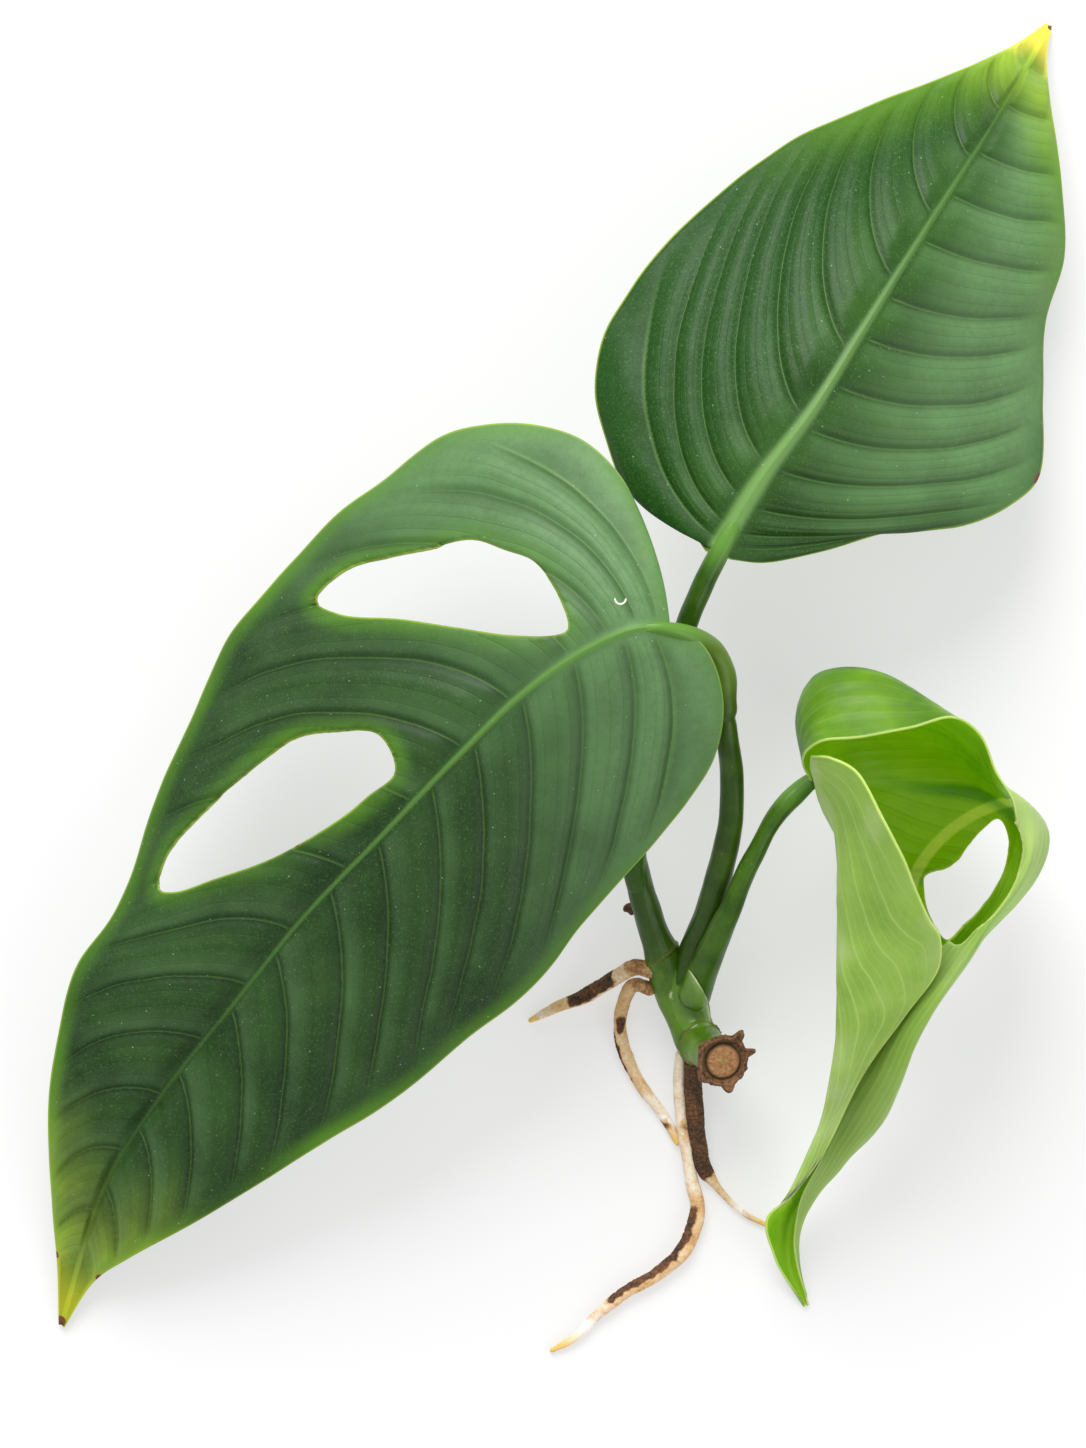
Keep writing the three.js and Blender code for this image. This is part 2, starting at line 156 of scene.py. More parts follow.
def new_grid(name, columns, rows):
    """A flat grid primitive, with each point's way across (-1 to 1) and along (0 to 1)."""
    bpy.ops.object.select_all(action="DESELECT")
    bpy.ops.mesh.primitive_grid_add(x_subdivisions=columns, y_subdivisions=rows, size=2)
    piece = bpy.context.object
    piece.name = piece.data.name = name
    flat = get_points(piece)
    return piece, flat[:, 0], (flat[:, 1] + 1) / 2


def mark(piece, **marks):
    """Keeps numbers for each point under these names, by which the materials read them."""
    kept = piece.data.attributes
    for name, values in marks.items():
        attribute = kept.get(name) or kept.new(name, "FLOAT", "POINT")
        attribute.data.foreach_set("value", np.ascontiguousarray(values, np.float32))


def marked(piece, name):
    values = np.zeros(len(piece.data.vertices), np.float32)
    piece.data.attributes[name].data.foreach_get("value", values)
    return values.astype(float)


def cross_section(blade, across, along):
    """Points of the bare blade. across runs from the left margin at -1 to the right one at 1."""
    foot = along ** (2.4 - 1.2 * along)
    centre = smooth_line(blade["midrib"], foot)
    ahead = smooth_line(blade["midrib"], np.minimum(foot + 0.002, 1))
    behind = smooth_line(blade["midrib"], np.maximum(foot - 0.002, 0))
    forward = (ahead - behind) / np.linalg.norm(ahead - behind, axis=1)[:, None]
    margin = np.where((across < 0)[:, None], smooth_line(blade["left"], along),
                      smooth_line(blade["right"], along))
    length = np.linalg.norm(margin - centre, axis=1)[:, None]
    middle = (centre + margin) / 2 - VEIN_BOW * length * forward
    middle[:, 2] += blade["arch"] * length[:, 0]
    s = np.abs(across)[:, None]
    return (1 - s) ** 2 * centre + 2 * s * (1 - s) * middle + s ** 2 * margin


def vein_starts(sweep, share, along):
    """Where on the midrib's share each point's side vein starts. Veins lean forward by the sweep."""
    at, lean = np.array(sweep, float).T
    start = along.copy()
    for _ in range(60):
        start = 0.5 * start + 0.5 * (along - np.interp(start, at, lean) * share ** 1.7)
    return start


def vein_order(veins, place, spread):
    """Counts the panels between side veins up to each place, and gives each panel's width.

    The count is whole on a side vein. spread is how many metres one unit of place is there."""
    stops = np.array((-0.3,) + tuple(veins) + (1.3,))
    upper = np.clip(np.searchsorted(stops, place), 1, len(stops) - 1)
    low, high = stops[upper - 1], stops[upper]
    return upper + (place - low) / (high - low), np.minimum((high - low) * spread, WIDEST_PANEL)


def cushions(order):
    """How far each point stands up between two veins: 0 on a vein and 1 half way."""
    return 1 - np.abs(2 * (order - np.floor(order)) - 1) ** 1.7


def grow_blade(name, blade, columns, rows, cushioning, seed):
    """A blade with its relief: one sheet of faces that face up, with its marks for the materials."""
    piece, across, along = new_grid(name, columns, rows)
    across = np.sign(across) * np.abs(across) ** 1.35
    points = cross_section(blade, across, along)
    step = 1e-3
    aside = np.where(across < 0, np.minimum(across + step, 0), np.maximum(across - step, 0))
    along_row = points - cross_section(blade, aside, along)
    along_row /= np.linalg.norm(along_row, axis=1)[:, None] + 1e-12
    down = np.maximum(along - step, 0)
    up = np.minimum(along + step, 1)
    run = (cross_section(blade, across, up) - cross_section(blade, across, down)) / (up - down)[:, None]
    run -= (run * along_row).sum(1)[:, None] * along_row
    spread = np.linalg.norm(run, axis=1)
    share = np.abs(across)
    centre = cross_section(blade, across * 0, along)
    from_rib = np.linalg.norm(points - centre, axis=1)

    wander = soft_noise(points, 26 * MM, seed)
    ripple = soft_noise(points, 7 * MM, seed + 3)
    left = across < 0
    place = np.where(left, vein_starts(blade["left_sweep"], share, along),
                     vein_starts(blade["right_sweep"], share, along))
    place += (0.010 * wander + 0.0025 * ripple) * share
    order_l, wide_l = vein_order(blade["left_veins"], place, spread)
    order_r, wide_r = vein_order(blade["right_veins"], place, spread)
    order, wide = np.where(left, order_l, order_r), np.where(left, wide_l, wide_r)
    to_vein = np.abs(order - np.round(order)) * wide
    firm = 0.6 + 0.4 * soft_noise(points, 32 * MM, seed + 5)

    rib = np.interp(along, *zip(*blade["rib"])) * MM
    rib_mask = np.exp(-(from_rib / rib) ** 4)
    off_rib = smoothstep(0.9, 3.5, from_rib / rib)
    clear = smoothstep(0.01, 0.16, share) * (1 - smoothstep(0.8, 1.0, share))
    grown = smoothstep(0.08, 0.22, along)
    height = cushioning * (0.75 + 0.5 * firm) * wide * cushions(order) * clear * grown
    height += 0.05 * wide / 4 * cushions(order * 4) * (0.6 + 0.8 * firm) * clear * grown
    height += -VEIN_GROOVE * np.exp(-(to_vein / (0.7 * MM)) ** 2) * off_rib * clear * grown
    tapering = 1 - smoothstep(0.78, 0.93, along)
    height += -RIB_CHANNEL * np.exp(-(from_rib / (2.6 * MM)) ** 2) * grown * tapering
    height += 0.32 * rib * np.exp(-(from_rib / rib) ** 2) * smoothstep(0.02, 0.12, along)
    height += 0.30 * MM * soft_noise(points, 9 * MM, seed + 1) * smoothstep(0.2, 0.6, share) * grown
    height += WAVINESS * soft_noise(points, 24 * MM, seed + 2) * smoothstep(0.6, 1.0, share) * grown
    height += 0.05 * MM * soft_noise(points, 2.2 * MM, seed + 4) * clear * grown
    height *= 1 - smoothstep(0.9, 0.98, along)
    set_points(piece, points)
    steady = 4 * np.exp(-(from_rib / (1.6 * MM)) ** 2)[:, None]
    lift = point_normals(piece) + steady * (0, 0, 1)
    lift /= np.linalg.norm(lift, axis=1)[:, None]
    set_points(piece, points + lift * height[:, None])

    mark(piece, along=along, across=across, rib=rib_mask, order=order, wide=wide / MM,
         veined=off_rib * (1 - smoothstep(0.75, 0.98, share)) * grown)
    return piece


def inside(outline, xy):
    """Which of these places lie inside a closed outline."""
    result = np.zeros(len(xy), bool)
    for a, b in zip(outline, np.roll(outline, -1, axis=0)):
        crosses = (a[1] > xy[:, 1]) != (b[1] > xy[:, 1])
        at = a[0] + (xy[:, 1] - a[1]) / (b[1] - a[1] + 1e-15) * (b[0] - a[0])
        result ^= crosses & (xy[:, 0] < at)
    return result


def open_gap(piece, outline, steps=400):
    """Takes out what lies inside an outline, seen from above, and draws the cut edge onto it."""
    loop = smooth_line(outline, np.linspace(0, 1, steps, endpoint=False), closed=True)
    points = get_points(piece)
    gone = inside(loop, points[:, :2])
    mesh = bmesh.new()
    mesh.from_mesh(piece.data)
    mesh.verts.ensure_lookup_table()
    edge_before = {v.index for v in mesh.verts if v.is_boundary}
    layer = mesh.verts.layers.int.new("kept")
    for v in mesh.verts:
        v[layer] = v.index
    bmesh.ops.delete(mesh, geom=[v for v in mesh.verts if gone[v.index]], context="VERTS")
    tree = kdtree.KDTree(len(loop))
    for i, (x, y) in enumerate(loop):
        tree.insert((x, y, 0), i)
    tree.balance()
    for v in mesh.verts:
        if v.is_boundary and v[layer] not in edge_before:
            spot, _, away = tree.find((v.co.x, v.co.y, 0))
            if away < CUT_REACH:
                v.co.x, v.co.y = spot.x, spot.y
    bmesh.ops.delete(mesh, geom=[f for f in mesh.faces if f.calc_area() < 1e-13], context="FACES")
    bmesh.ops.delete(mesh, geom=[v for v in mesh.verts if not v.link_faces], context="VERTS")
    mesh.verts.layers.int.remove(layer)
    mesh.to_mesh(piece.data)
    mesh.free()


def mark_rim(piece):
    """Marks each point with its distance to the nearest edge, in millimetres."""
    mesh = bmesh.new()
    mesh.from_mesh(piece.data)
    edge = [v.co.copy() for v in mesh.verts if v.is_boundary]
    tree = kdtree.KDTree(len(edge))
    for i, co in enumerate(edge):
        tree.insert(co, i)
    tree.balance()
    mark(piece, rim=[min(tree.find(v.co)[2] / MM, FARTHEST_FROM_RIM) for v in mesh.verts])
    mesh.free()


def mark_bitten(piece, spots):
    """Marks brown, damaged places. Each spot is its place seen from above and its size, in mm."""
    at_x, at_y, _ = get_points(piece).T / MM
    mark(piece, bitten=np.max([np.exp(-((at_x - x) ** 2 + (at_y - y) ** 2) / size ** 2)
                               for x, y, size in spots], axis=0))


def thicken(piece, thickness, rib_depth=0.0):
    """Gives a sheet its underside and rim, in the second material, and a rib under the midrib."""
    top = get_points(piece)
    normals = point_normals(piece)
    solid = piece.modifiers.new("thickness", "SOLIDIFY")
    solid.thickness = thickness
    solid.offset = -1
    solid.use_even_offset = False
    solid.material_offset = 1
    solid.material_offset_rim = 1
    bpy.context.view_layer.objects.active = piece
    bpy.ops.object.modifier_apply(modifier="thickness")
    points = get_points(piece)
    first_is_top = np.abs(points[:len(top)] - top).max() < np.abs(points[len(top):] - top).max()
    along = marked(piece, "along")[:len(top)]
    grow = thickness + marked(piece, "rib")[:len(top)] * rib_depth * (
        (1.15 - along) * smoothstep(0.1, 0.3, along) * smoothstep(0.93, 0.8, along))
    under = top - normals * grow[:, None]
    set_points(piece, np.vstack([top, under] if first_is_top else [under, top]))
    for face in piece.data.polygons:
        face.use_smooth = True


def srgb(red, green, blue):
    """A screen colour as the linear colour that a shader takes."""
    return tuple((c / 12.92 if c <= 0.04045 else ((c + 0.055) / 1.055) ** 2.4)
                 for c in (red / 255, green / 255, blue / 255)) + (1.0,)


class Value:
    """A number that varies over a surface. Python's operators add the Math nodes for it."""

    def __init__(self, finish, socket):
        self.finish = finish
        self.socket = socket

    def math(self, operation, *others, clamp=False):
        inputs = dict(enumerate((self,) + others))
        return self.finish.node("ShaderNodeMath", {"operation": operation, "use_clamp": clamp}, inputs)

    def __add__(self, other):
        return self.math("ADD", other)

    def __sub__(self, other):
        return self.math("SUBTRACT", other)

    def __mul__(self, other):
        return self.math("MULTIPLY", other)

    def __truediv__(self, other):
        return self.math("DIVIDE", other)

    def __rsub__(self, other):
        return self.finish.node("ShaderNodeMath", {"operation": "SUBTRACT"}, {0: other, 1: self})

    __radd__ = __add__
    __rmul__ = __mul__

    def step(self, low, high):
        """0 up to low and 1 from high, with a soft rise between, or a fall if low is larger."""
        falls = low > high
        return self.finish.node("ShaderNodeMapRange", {"interpolation_type": "SMOOTHSTEP"}, {
            0: self, 1: min(low, high), 2: max(low, high), 3: float(falls), 4: float(not falls)})


class Finish:
    """A material that is made of nodes."""

    def __init__(self, name):
        self.material = bpy.data.materials.new(name)
        self.material.use_nodes = True
        self.tree = self.material.node_tree
        self.tree.nodes.clear()

    def node(self, kind, settings=None, inputs=None, output=0):
        """Adds a node, with its settings first and then the values or links of its sockets."""
        node = self.tree.nodes.new(kind)
        for key, value in (settings or {}).items():
            setattr(node, key, value)
        for key, value in (inputs or {}).items():
            if isinstance(value, Value):
                self.tree.links.new(value.socket, node.inputs[key])
            else:
                node.inputs[key].default_value = value
        return Value(self, node.outputs[output]) if node.outputs else None

    def mark(self, name):
        return self.node("ShaderNodeAttribute", {"attribute_name": name}, output="Fac")

    def place(self):
        return self.node("ShaderNodeTexCoord", output="Object")

    def lumps(self, size, detail=3.0, rough=0.55, shift=0.0):
        """Noise from 0 to 1 with lumps of this size in metres. A shift gives another pattern."""
        where = self.place()
        if shift:
            where = self.node("ShaderNodeMapping", {"vector_type": "POINT"},
                              {0: where, 1: (shift, shift, shift)})
        return self.node("ShaderNodeTexNoise", {},
                         {"Vector": where, "Scale": 1 / size, "Detail": detail, "Roughness": rough})

    def specks(self, size):
        """The distance to the nearest of many scattered dots, which lie about this far apart."""
        return self.node("ShaderNodeTexVoronoi", {}, {"Vector": self.place(), "Scale": 1 / size})

    def far_from(self, x, y):
        """The distance in millimetres from a point on the ground plan, seen from above."""
        flat = self.node("ShaderNodeVectorMath", {"operation": "MULTIPLY"}, {0: self.place(), 1: (1, 1, 0)})
        return self.node("ShaderNodeVectorMath", {"operation": "DISTANCE"},
                         {0: flat, 1: (x * MM, y * MM, 0)}, "Value") * (1 / MM)

    def mix(self, share, first, second):
        """The first colour where share is 0 and the second where it is 1."""
        return self.node("ShaderNodeMix", {"data_type": "RGBA"}, {0: share, 6: first, 7: second}, 2)

    def bump(self, height, distance, strength):
        """Small relief: the surface rises by up to this distance where height is 1."""
        return self.node("ShaderNodeBump", {},
                         {"Strength": strength, "Distance": distance, "Height": height})

    def skin(self, colour, roughness, normal, **constants):
        """The surface itself. constants are the same all over it."""
        inputs = {"Base Color": colour, "Roughness": roughness}
        if normal is not None:
            inputs["Normal"] = normal
        inputs.update({key.replace("_", " "): value for key, value in constants.items()})
        shader = self.node("ShaderNodeBsdfPrincipled", {}, inputs)
        self.node("ShaderNodeOutputMaterial", {}, {0: shader})
        return self.material


SKIN_RELIEF = 0.12 * MM
LEAF_GLOW = (0.4, 1.0, 0.2)        # how far red, green and blue light spread inside a blade
PAINTED_SHEEN = srgb(100, 138, 88)
PALE_GRAIN = srgb(118, 150, 104)
PLEAT_HIGHLIGHT = srgb(94, 130, 84)
VIVID_MARGIN = srgb(88, 136, 4)
BROWN_SPOTS = srgb(96, 60, 20)
BROWN_DAMAGE = srgb(104, 66, 34)
PALE_FLECKS = srgb(170, 192, 154)
PALE_SCRATCHES = srgb(180, 198, 170)
WHITE_SCRATCH = srgb(236, 238, 226)


def side_veins(f, fine_count=4):
    """Masks for the side veins, the crease along them and the fine veins between them."""
    order, wide, veined = f.mark("order"), f.mark("wide"), f.mark("veined")
    away = (order - order.math("ROUND")).math("ABSOLUTE") * wide
    count = order * fine_count
    fine = (count - count.math("ROUND")).math("ABSOLUTE") * wide / fine_count
    return away.step(0.34, 0.08) * veined, away.step(1.6, 0.1) * veined, fine.step(0.26, 0.04) * veined


def leaf_top(name, dark, light, edge, tip, rib, fresh, tip_from, sheen_side, left_shade_and_vivid, margin_glow,
             scratch_at=()):
    """The upper skin of a blade: waxy green, yellower at its margin and tip, with a pale midrib, and with
    painted sheen and painted shade.

    Its sheen side is 0 for a painted sheen towards the base and 1 for one on the right half."""
    f = Finish(name)
    patches = f.lumps(16 * MM, detail=4)
    cloud = f.lumps(45 * MM, detail=2, shift=0.3)
    mottle = f.lumps(1.5 * MM, detail=5, rough=0.7)
    vein, crease, fine_vein = side_veins(f)
    rim = f.mark("rim")
    along = f.mark("along")
    across = f.mark("across")
    # The base colour is darker in the creases beside the side veins: painted shade.
    colour = f.mix((patches - 0.5) * 1.8 + 0.4 - crease * 0.35, dark, light)
    # Painted sheen: a lighter, greyer green where the blade would reflect the bright room, towards its base
    # or over its right half.
    sheen_at_base = along.step(0.5, 0.2) * (1.0 - sheen_side)
    sheen = sheen_at_base + across.step(0.0, 0.6) * along.step(0.2, 0.5) * sheen_side
    colour = f.mix(sheen * (0.4 + patches * 0.6), colour, PAINTED_SHEEN)
    # Painted shade: the left half turns to the deeper green, as a side that faces away from the light, with
    # cloudy patches of that green elsewhere.
    outward = (0.0 - across).step(0.1, 0.55) * left_shade_and_vivid
    colour = f.mix((outward + (cloud - 0.45) * 1.4 * left_shade_and_vivid).math("MAXIMUM", 0.0, clamp=True),
                   colour, fresh)
    grain = f.lumps(0.42 * MM, detail=3, rough=0.8)
    colour = f.mix((mottle - 0.5) * 0.9 + (grain - 0.5) * 1.1 + 0.12, colour, light)
    colour = f.mix(grain.step(0.56, 0.72) * 0.3, colour, PALE_GRAIN)
    edge_glow = rim.step(4.5, 0) * (0.15 + (cloud - 0.35) * 1.2) * (0.5 + along * 1.1) * margin_glow * 2.0
    colour = f.mix(edge_glow.math("MAXIMUM", 0.0, clamp=True), colour, fresh)
    vivid = rim.step(14, 1) * along.step(0.5, 0.85) * (0.4 + patches) * left_shade_and_vivid * 0.8
    colour = f.mix(vivid, colour, VIVID_MARGIN)
    yellowing = (along + (patches - 0.5) * 0.1).step(0.78, 1.0) * rim.step(16, 2) * 0.7
    colour = f.mix(yellowing, colour, edge)
    colour = f.mix(rim.step(0.5, 0.05) * (0.25 + cloud * 0.7), colour, edge)
    ageing = (along + (patches - 0.5) * 0.05 + rim.step(6, 0) * 0.03).step(tip_from, 1.0)
    colour = f.mix(ageing, colour, tip)
    spots = f.specks(3.2 * MM).step(0.14, 0.08) * along.step(0.95, 0.965)
    colour = f.mix(spots * 0.8, colour, BROWN_SPOTS)
    # Painted light and shade on the pleats: each panel is darker just past its vein and lighter towards its
    # far side, as light from one side would make it.
    phase = f.mark("order").math("FRACT")
    pleat_shade = phase.step(0.4, 0.05) * f.mark("veined") * (0.2 + patches * 0.6)
    pleat_highlight = phase.step(0.45, 0.8) * phase.step(1.0, 0.88) * f.mark("veined") * (patches - 0.15)
    colour = f.mix(pleat_shade * (0.7 - sheen_side * 0.25), colour, dark)
    colour = f.mix(pleat_highlight * (0.45 - outward.math("MINIMUM", 1.0) * 0.35), colour, PLEAT_HIGHLIGHT)
    # More painted shade in the creases beside the side veins, but not on the veins themselves.
    colour = f.mix(crease * (0.25 - vein * 0.25), colour, dark)
    colour = f.mix(vein * 0.3, colour, rib)
    colour = f.mix(fine_vein * 0.1, colour, dark)
    colour = f.mix(f.mark("rib") * (along.step(0.95, 0.25) * 0.85 + 0.1), colour, rib)
    flecks = f.specks(2.2 * MM).step(0.08, 0.03) * mottle.step(0.42, 0.52)
    colour = f.mix(flecks * 0.5, colour, PALE_FLECKS)
    colour = f.mix((f.mark("bitten") + (mottle - 0.5) * 0.4).step(0.4, 0.6), colour, BROWN_DAMAGE)
    for x, y, size in scratch_at:
        up_the_plan = f.node("ShaderNodeSeparateXYZ", {}, {0: f.place()}, 1) * (1 / MM)
        line = (f.far_from(x, y) - size).math("ABSOLUTE").step(0.2, 0.08)
        line = line * up_the_plan.step(y + 0.15, y - 0.15)
        colour = f.mix(line * 0.75, colour, WHITE_SCRATCH)
    hairs = f.node("ShaderNodeTexNoise", {"noise_type": "RIDGED_MULTIFRACTAL"},
                   {"Vector": f.place(), "Scale": 1 / (7 * MM), "Detail": 2.0, "Distortion": 1.5})
    scratch = hairs.step(1.22, 1.42) * patches.step(0.48, 0.6)
    colour = f.mix(scratch * 0.2, colour, PALE_SCRATCHES)
    relief = mottle * 0.3 + f.lumps(0.5 * MM, detail=3) * 0.3 - vein * 0.5 - crease * 0.7 - fine_vein * 0.35
    rough = 0.44 + (patches - 0.5) * 0.2 + mottle * 0.08 - vein * 0.05
    return f.skin(colour, rough, f.bump(relief, SKIN_RELIEF, 0.7), Subsurface_Weight=0.06,
                  Subsurface_Radius=LEAF_GLOW, Subsurface_Scale=0.6 * MM, Specular_IOR_Level=0.22)


def leaf_underside(name, body, vein_colour, edge, tip, tip_from):
    """The lower skin of a blade: paler and duller, with its veins standing out."""
    f = Finish(name)
    patches = f.lumps(14 * MM, detail=4)
    mottle = f.lumps(1.2 * MM, detail=4, rough=0.65)
    colour = f.mix((patches - 0.5) * 1.2 + 0.4, body, vein_colour)
    along = f.mark("along")
    vein, crease, fine_vein = side_veins(f)
    veins = (vein + crease * 0.3 + f.mark("rib")).math("MINIMUM", 1.0)
    colour = f.mix(veins * 0.7 + fine_vein * 0.25, colour, vein_colour)
    rim = f.mark("rim")
    colour = f.mix(rim.step(1.3, 0.1) * 0.9, colour, edge)
    colour = f.mix((along + (patches - 0.5) * 0.05).step(tip_from, 1.0), colour, tip)
    relief = mottle * 0.3 + f.lumps(0.6 * MM, detail=2) * 0.3 + vein * 0.8 + crease * 0.6 + fine_vein * 0.5
    return f.skin(colour, 0.5 + mottle * 0.12, f.bump(relief, SKIN_RELIEF, 0.7),
                  Subsurface_Weight=0.08, Subsurface_Radius=LEAF_GLOW, Subsurface_Scale=0.6 * MM)


def finish_piece(piece, slot, *nodes):
    """Joins a piece to the cutting, in the place of these parts of the plain model."""
    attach(piece, "root")
    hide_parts(*nodes)


split_blade = grow_blade("split_blade", SPLIT_BLADE, 150, 300, 0.085, 1)
open_gap(split_blade, UPPER_GAP)
open_gap(split_blade, LOWER_GAP)
mark_rim(split_blade)
mark_bitten(split_blade, (
    (-43.6, 15.2, 0.9), (-92.2, -118.3, 1.3), (-84.5, -109.6, 0.8), (-92.6, -105.5, 0.7)))
split_blade.data.materials.append(leaf_top(
    "split leaf skin", dark=srgb(14, 40, 8), light=srgb(46, 80, 32), edge=srgb(150, 176, 60),
    tip=srgb(172, 178, 36), rib=srgb(86, 128, 54), fresh=srgb(80, 128, 24), tip_from=0.95,
    sheen_side=0.0, left_shade_and_vivid=0.0, margin_glow=0.7, scratch_at=((11.2, 14.8, 0.95),)))
split_blade.data.materials.append(leaf_underside(
    "split leaf underside", body=srgb(92, 128, 74), vein_colour=srgb(128, 158, 96),
    edge=srgb(150, 172, 70), tip=srgb(172, 176, 48), tip_from=0.93))
thicken(split_blade, BLADE_THICKNESS, SPLIT_RIB_DEPTH)
finish_piece(split_blade, "grown_blade", "blade_split")

# ---- The plain leaf's blade ----------------------------------------------------------------------
# A heart-shaped blade without gaps, a fresher green than the split one. Its midrib is broad and pale
# at the base, and its margin waves where it was squeezed as it unrolled.
WHOLE_BLADE = {
    "midrib": [
        (28.5, 23.5, 46), (36.5, 36.5, 48), (45.5, 48.5, 48), (54, 62, 45), (62.5, 75.5, 39),
        (70.5, 88, 31), (79, 101, 21), (87.5, 115, 9), (92, 123, 1),
    ],
    "left": [
        (26.5, 23.5, 45), (24, 27, 43), (19, 30, 41), (13, 34, 39), (9, 43, 37), (7, 52.5, 35),
        (8.5, 62, 34), (12.5, 69.5, 33), (19.5, 79, 32), (28.5, 88, 30), (41.5, 98, 27),
        (56.5, 105.5, 22), (72, 112, 15), (84, 118, 7), (91.5, 123.5, 0.9),
    ],
    "right": [
        (31, 22, 45), (37, 21.5, 43), (47, 23.5, 40), (59.5, 27, 35), (73, 28.5, 29), (82.5, 32.5, 23),
        (88.5, 38.5, 17), (89.5, 52.5, 14), (90, 67, 13), (93.5, 79, 13), (93, 93, 12), (91.5, 106, 9),
        (91, 115.5, 5), (92.5, 123, 0.9),
    ],
    "arch": 0.09,
    "left_veins": (0.16, 0.22, 0.29, 0.36, 0.44, 0.53, 0.62, 0.7, 0.78, 0.85, 0.92),
    "right_veins": (0.13, 0.2, 0.28, 0.36, 0.43, 0.49, 0.55, 0.6, 0.67, 0.73, 0.79, 0.86, 0.92),
    "left_sweep": ((0, 0.2), (0.22, 0.33), (0.36, 0.3), (0.45, 0.27), (0.62, 0.16), (0.78, 0.09), (1, 0)),
    "right_sweep": ((0, 0.1), (0.36, 0.11), (0.46, 0.07), (0.55, 0.05), (0.68, 0.01), (1, 0)),
    "rib": ((0, 2.0), (0.3, 1.8), (0.45, 1.25), (0.62, 0.75), (0.8, 0.4), (1, 0.2)),
}
WHOLE_RIB_DEPTH = 1.4 * MM
whole_blade = grow_blade("whole_blade", WHOLE_BLADE, 150, 260, 0.07, 4)
mark_rim(whole_blade)
mark_bitten(whole_blade, ((88.6, 37.6, 1.5), (92.2, 122.6, 0.7)))
whole_blade.data.materials.append(leaf_top(
    "plain leaf skin", dark=srgb(18, 52, 4), light=srgb(50, 90, 28), edge=srgb(160, 186, 54),
    tip=srgb(226, 214, 70), rib=srgb(104, 144, 74), fresh=srgb(14, 60, 0), tip_from=0.94,
    sheen_side=1.0, left_shade_and_vivid=1.0, margin_glow=0.25))
whole_blade.data.materials.append(leaf_underside(
    "plain leaf underside", body=srgb(100, 140, 74), vein_colour=srgb(140, 172, 100),
    edge=srgb(150, 178, 60), tip=srgb(214, 204, 74), tip_from=0.9))
thicken(whole_blade, BLADE_THICKNESS, WHOLE_RIB_DEPTH)
finish_piece(whole_blade, "plain_blade", "blade_whole")

# ---- The young leaf's blade ----------------------------------------------------------------------
# A thin, bright blade that is still furled: a hood at its base, a flap that folds over from the
# other side, and a roll that turns back towards the tip. Its midrib lies at the bottom of the funnel.
YOUNG_GUIDES = [
    [  # left margin: the rim of the hood, then the inner edge of the roll
        (44, -12, 51), (47, -10, 57), (53.5, -9.5, 58), (61.5, -8, 58), (69, -6, 56), (74.5, -9, 50),
        (77.5, -15, 46), (81, -21.5, 44), (80.5, -32, 40), (69.5, -46.5, 38), (60.5, -60, 32.5),
        (53.5, -73, 26), (48.5, -86, 18), (44.5, -97, 9), (44.5, -107, 4.5), (47, -115, 0.8),
    ],
    [  # hood
        (44, -14, 44), (43, -5.5, 44), (46.5, 1.5, 45), (55, 2.5, 46), (65.5, -3, 47), (75.5, -11.5, 42),
        (78.5, -17.5, 42), (83.5, -21.5, 41), (84, -31, 43), (75.5, -44.5, 42), (65.5, -60.5, 38),
        (59, -76.5, 27), (52.5, -87, 17), (46, -98, 7), (45, -107, 3.5), (47, -115.5, 0.75),
    ],
    [  # wall between the hood and the midrib
        (45.5, -16.5, 36), (45.5, -12, 30), (51.5, -9, 23), (62, -9, 21), (71.5, -11, 23), (78.5, -17, 28),
        (82, -21, 28), (88.5, -26, 30), (86.5, -34.5, 31), (75.5, -47, 31), (65, -63, 28), (59, -80, 20),
        (51, -89.5, 12), (45, -99, 5), (44, -107, 2.5), (47, -115.5, 0.7),
    ],
    [  # midrib
        (47, -18.5, 28), (51.5, -18.5, 20), (58.5, -18, 16), (68.5, -19, 15), (77.5, -20, 16),
        (82.5, -23, 18), (85.5, -26.5, 17), (86.5, -30, 18), (83, -39, 18), (73, -51, 17), (63.5, -67, 15),
        (55.5, -82, 12), (48, -91.5, 8), (43.5, -100, 4), (43.5, -107.5, 2), (46.5, -115.5, 0.7),
    ],
    [  # wall between the midrib and the flap
        (46.5, -17, 36), (48.5, -22, 30), (53.5, -28, 22), (61, -33.5, 18), (71, -34, 19), (77, -35.5, 19),
        (77, -39, 18), (76.5, -42, 18), (72, -49.5, 17), (64.5, -61.5, 15), (56, -74, 13), (49, -86.5, 11),
        (44, -94.5, 9), (41.5, -99.5, 6), (42.5, -107, 2.5), (46.5, -115.5, 0.7),
    ],
    [  # flap: its fold is the left outline of the leaf seen from above
        (45.5, -15, 43), (47, -18.5, 46), (49, -23, 44), (50.5, -31.5, 38), (50.5, -39.5, 37),
        (50.5, -47.5, 36), (50.5, -52.5, 36), (50.5, -56.5, 35), (50.5, -64, 33), (49.5, -72, 30),
        (48, -80, 25), (43.5, -91.5, 19), (41, -96, 14), (40, -99, 9), (41.5, -107, 4),
        (46.5, -115.5, 0.75),
    ],
    [  # right margin: the free edge of the flap
        (45, -12.5, 51), (48, -13, 58), (52.5, -15.5, 60), (57, -23.5, 60), (61, -31, 57), (64, -37.5, 51),
        (66, -41.5, 48), (68, -44.5, 46), (68, -50.5, 42), (62.5, -59, 37), (55, -71, 31), (49, -84.5, 24),
        (43.5, -93, 19), (39, -98, 13), (41, -106.5, 5.5), (46.5, -115, 0.8),
    ],
]
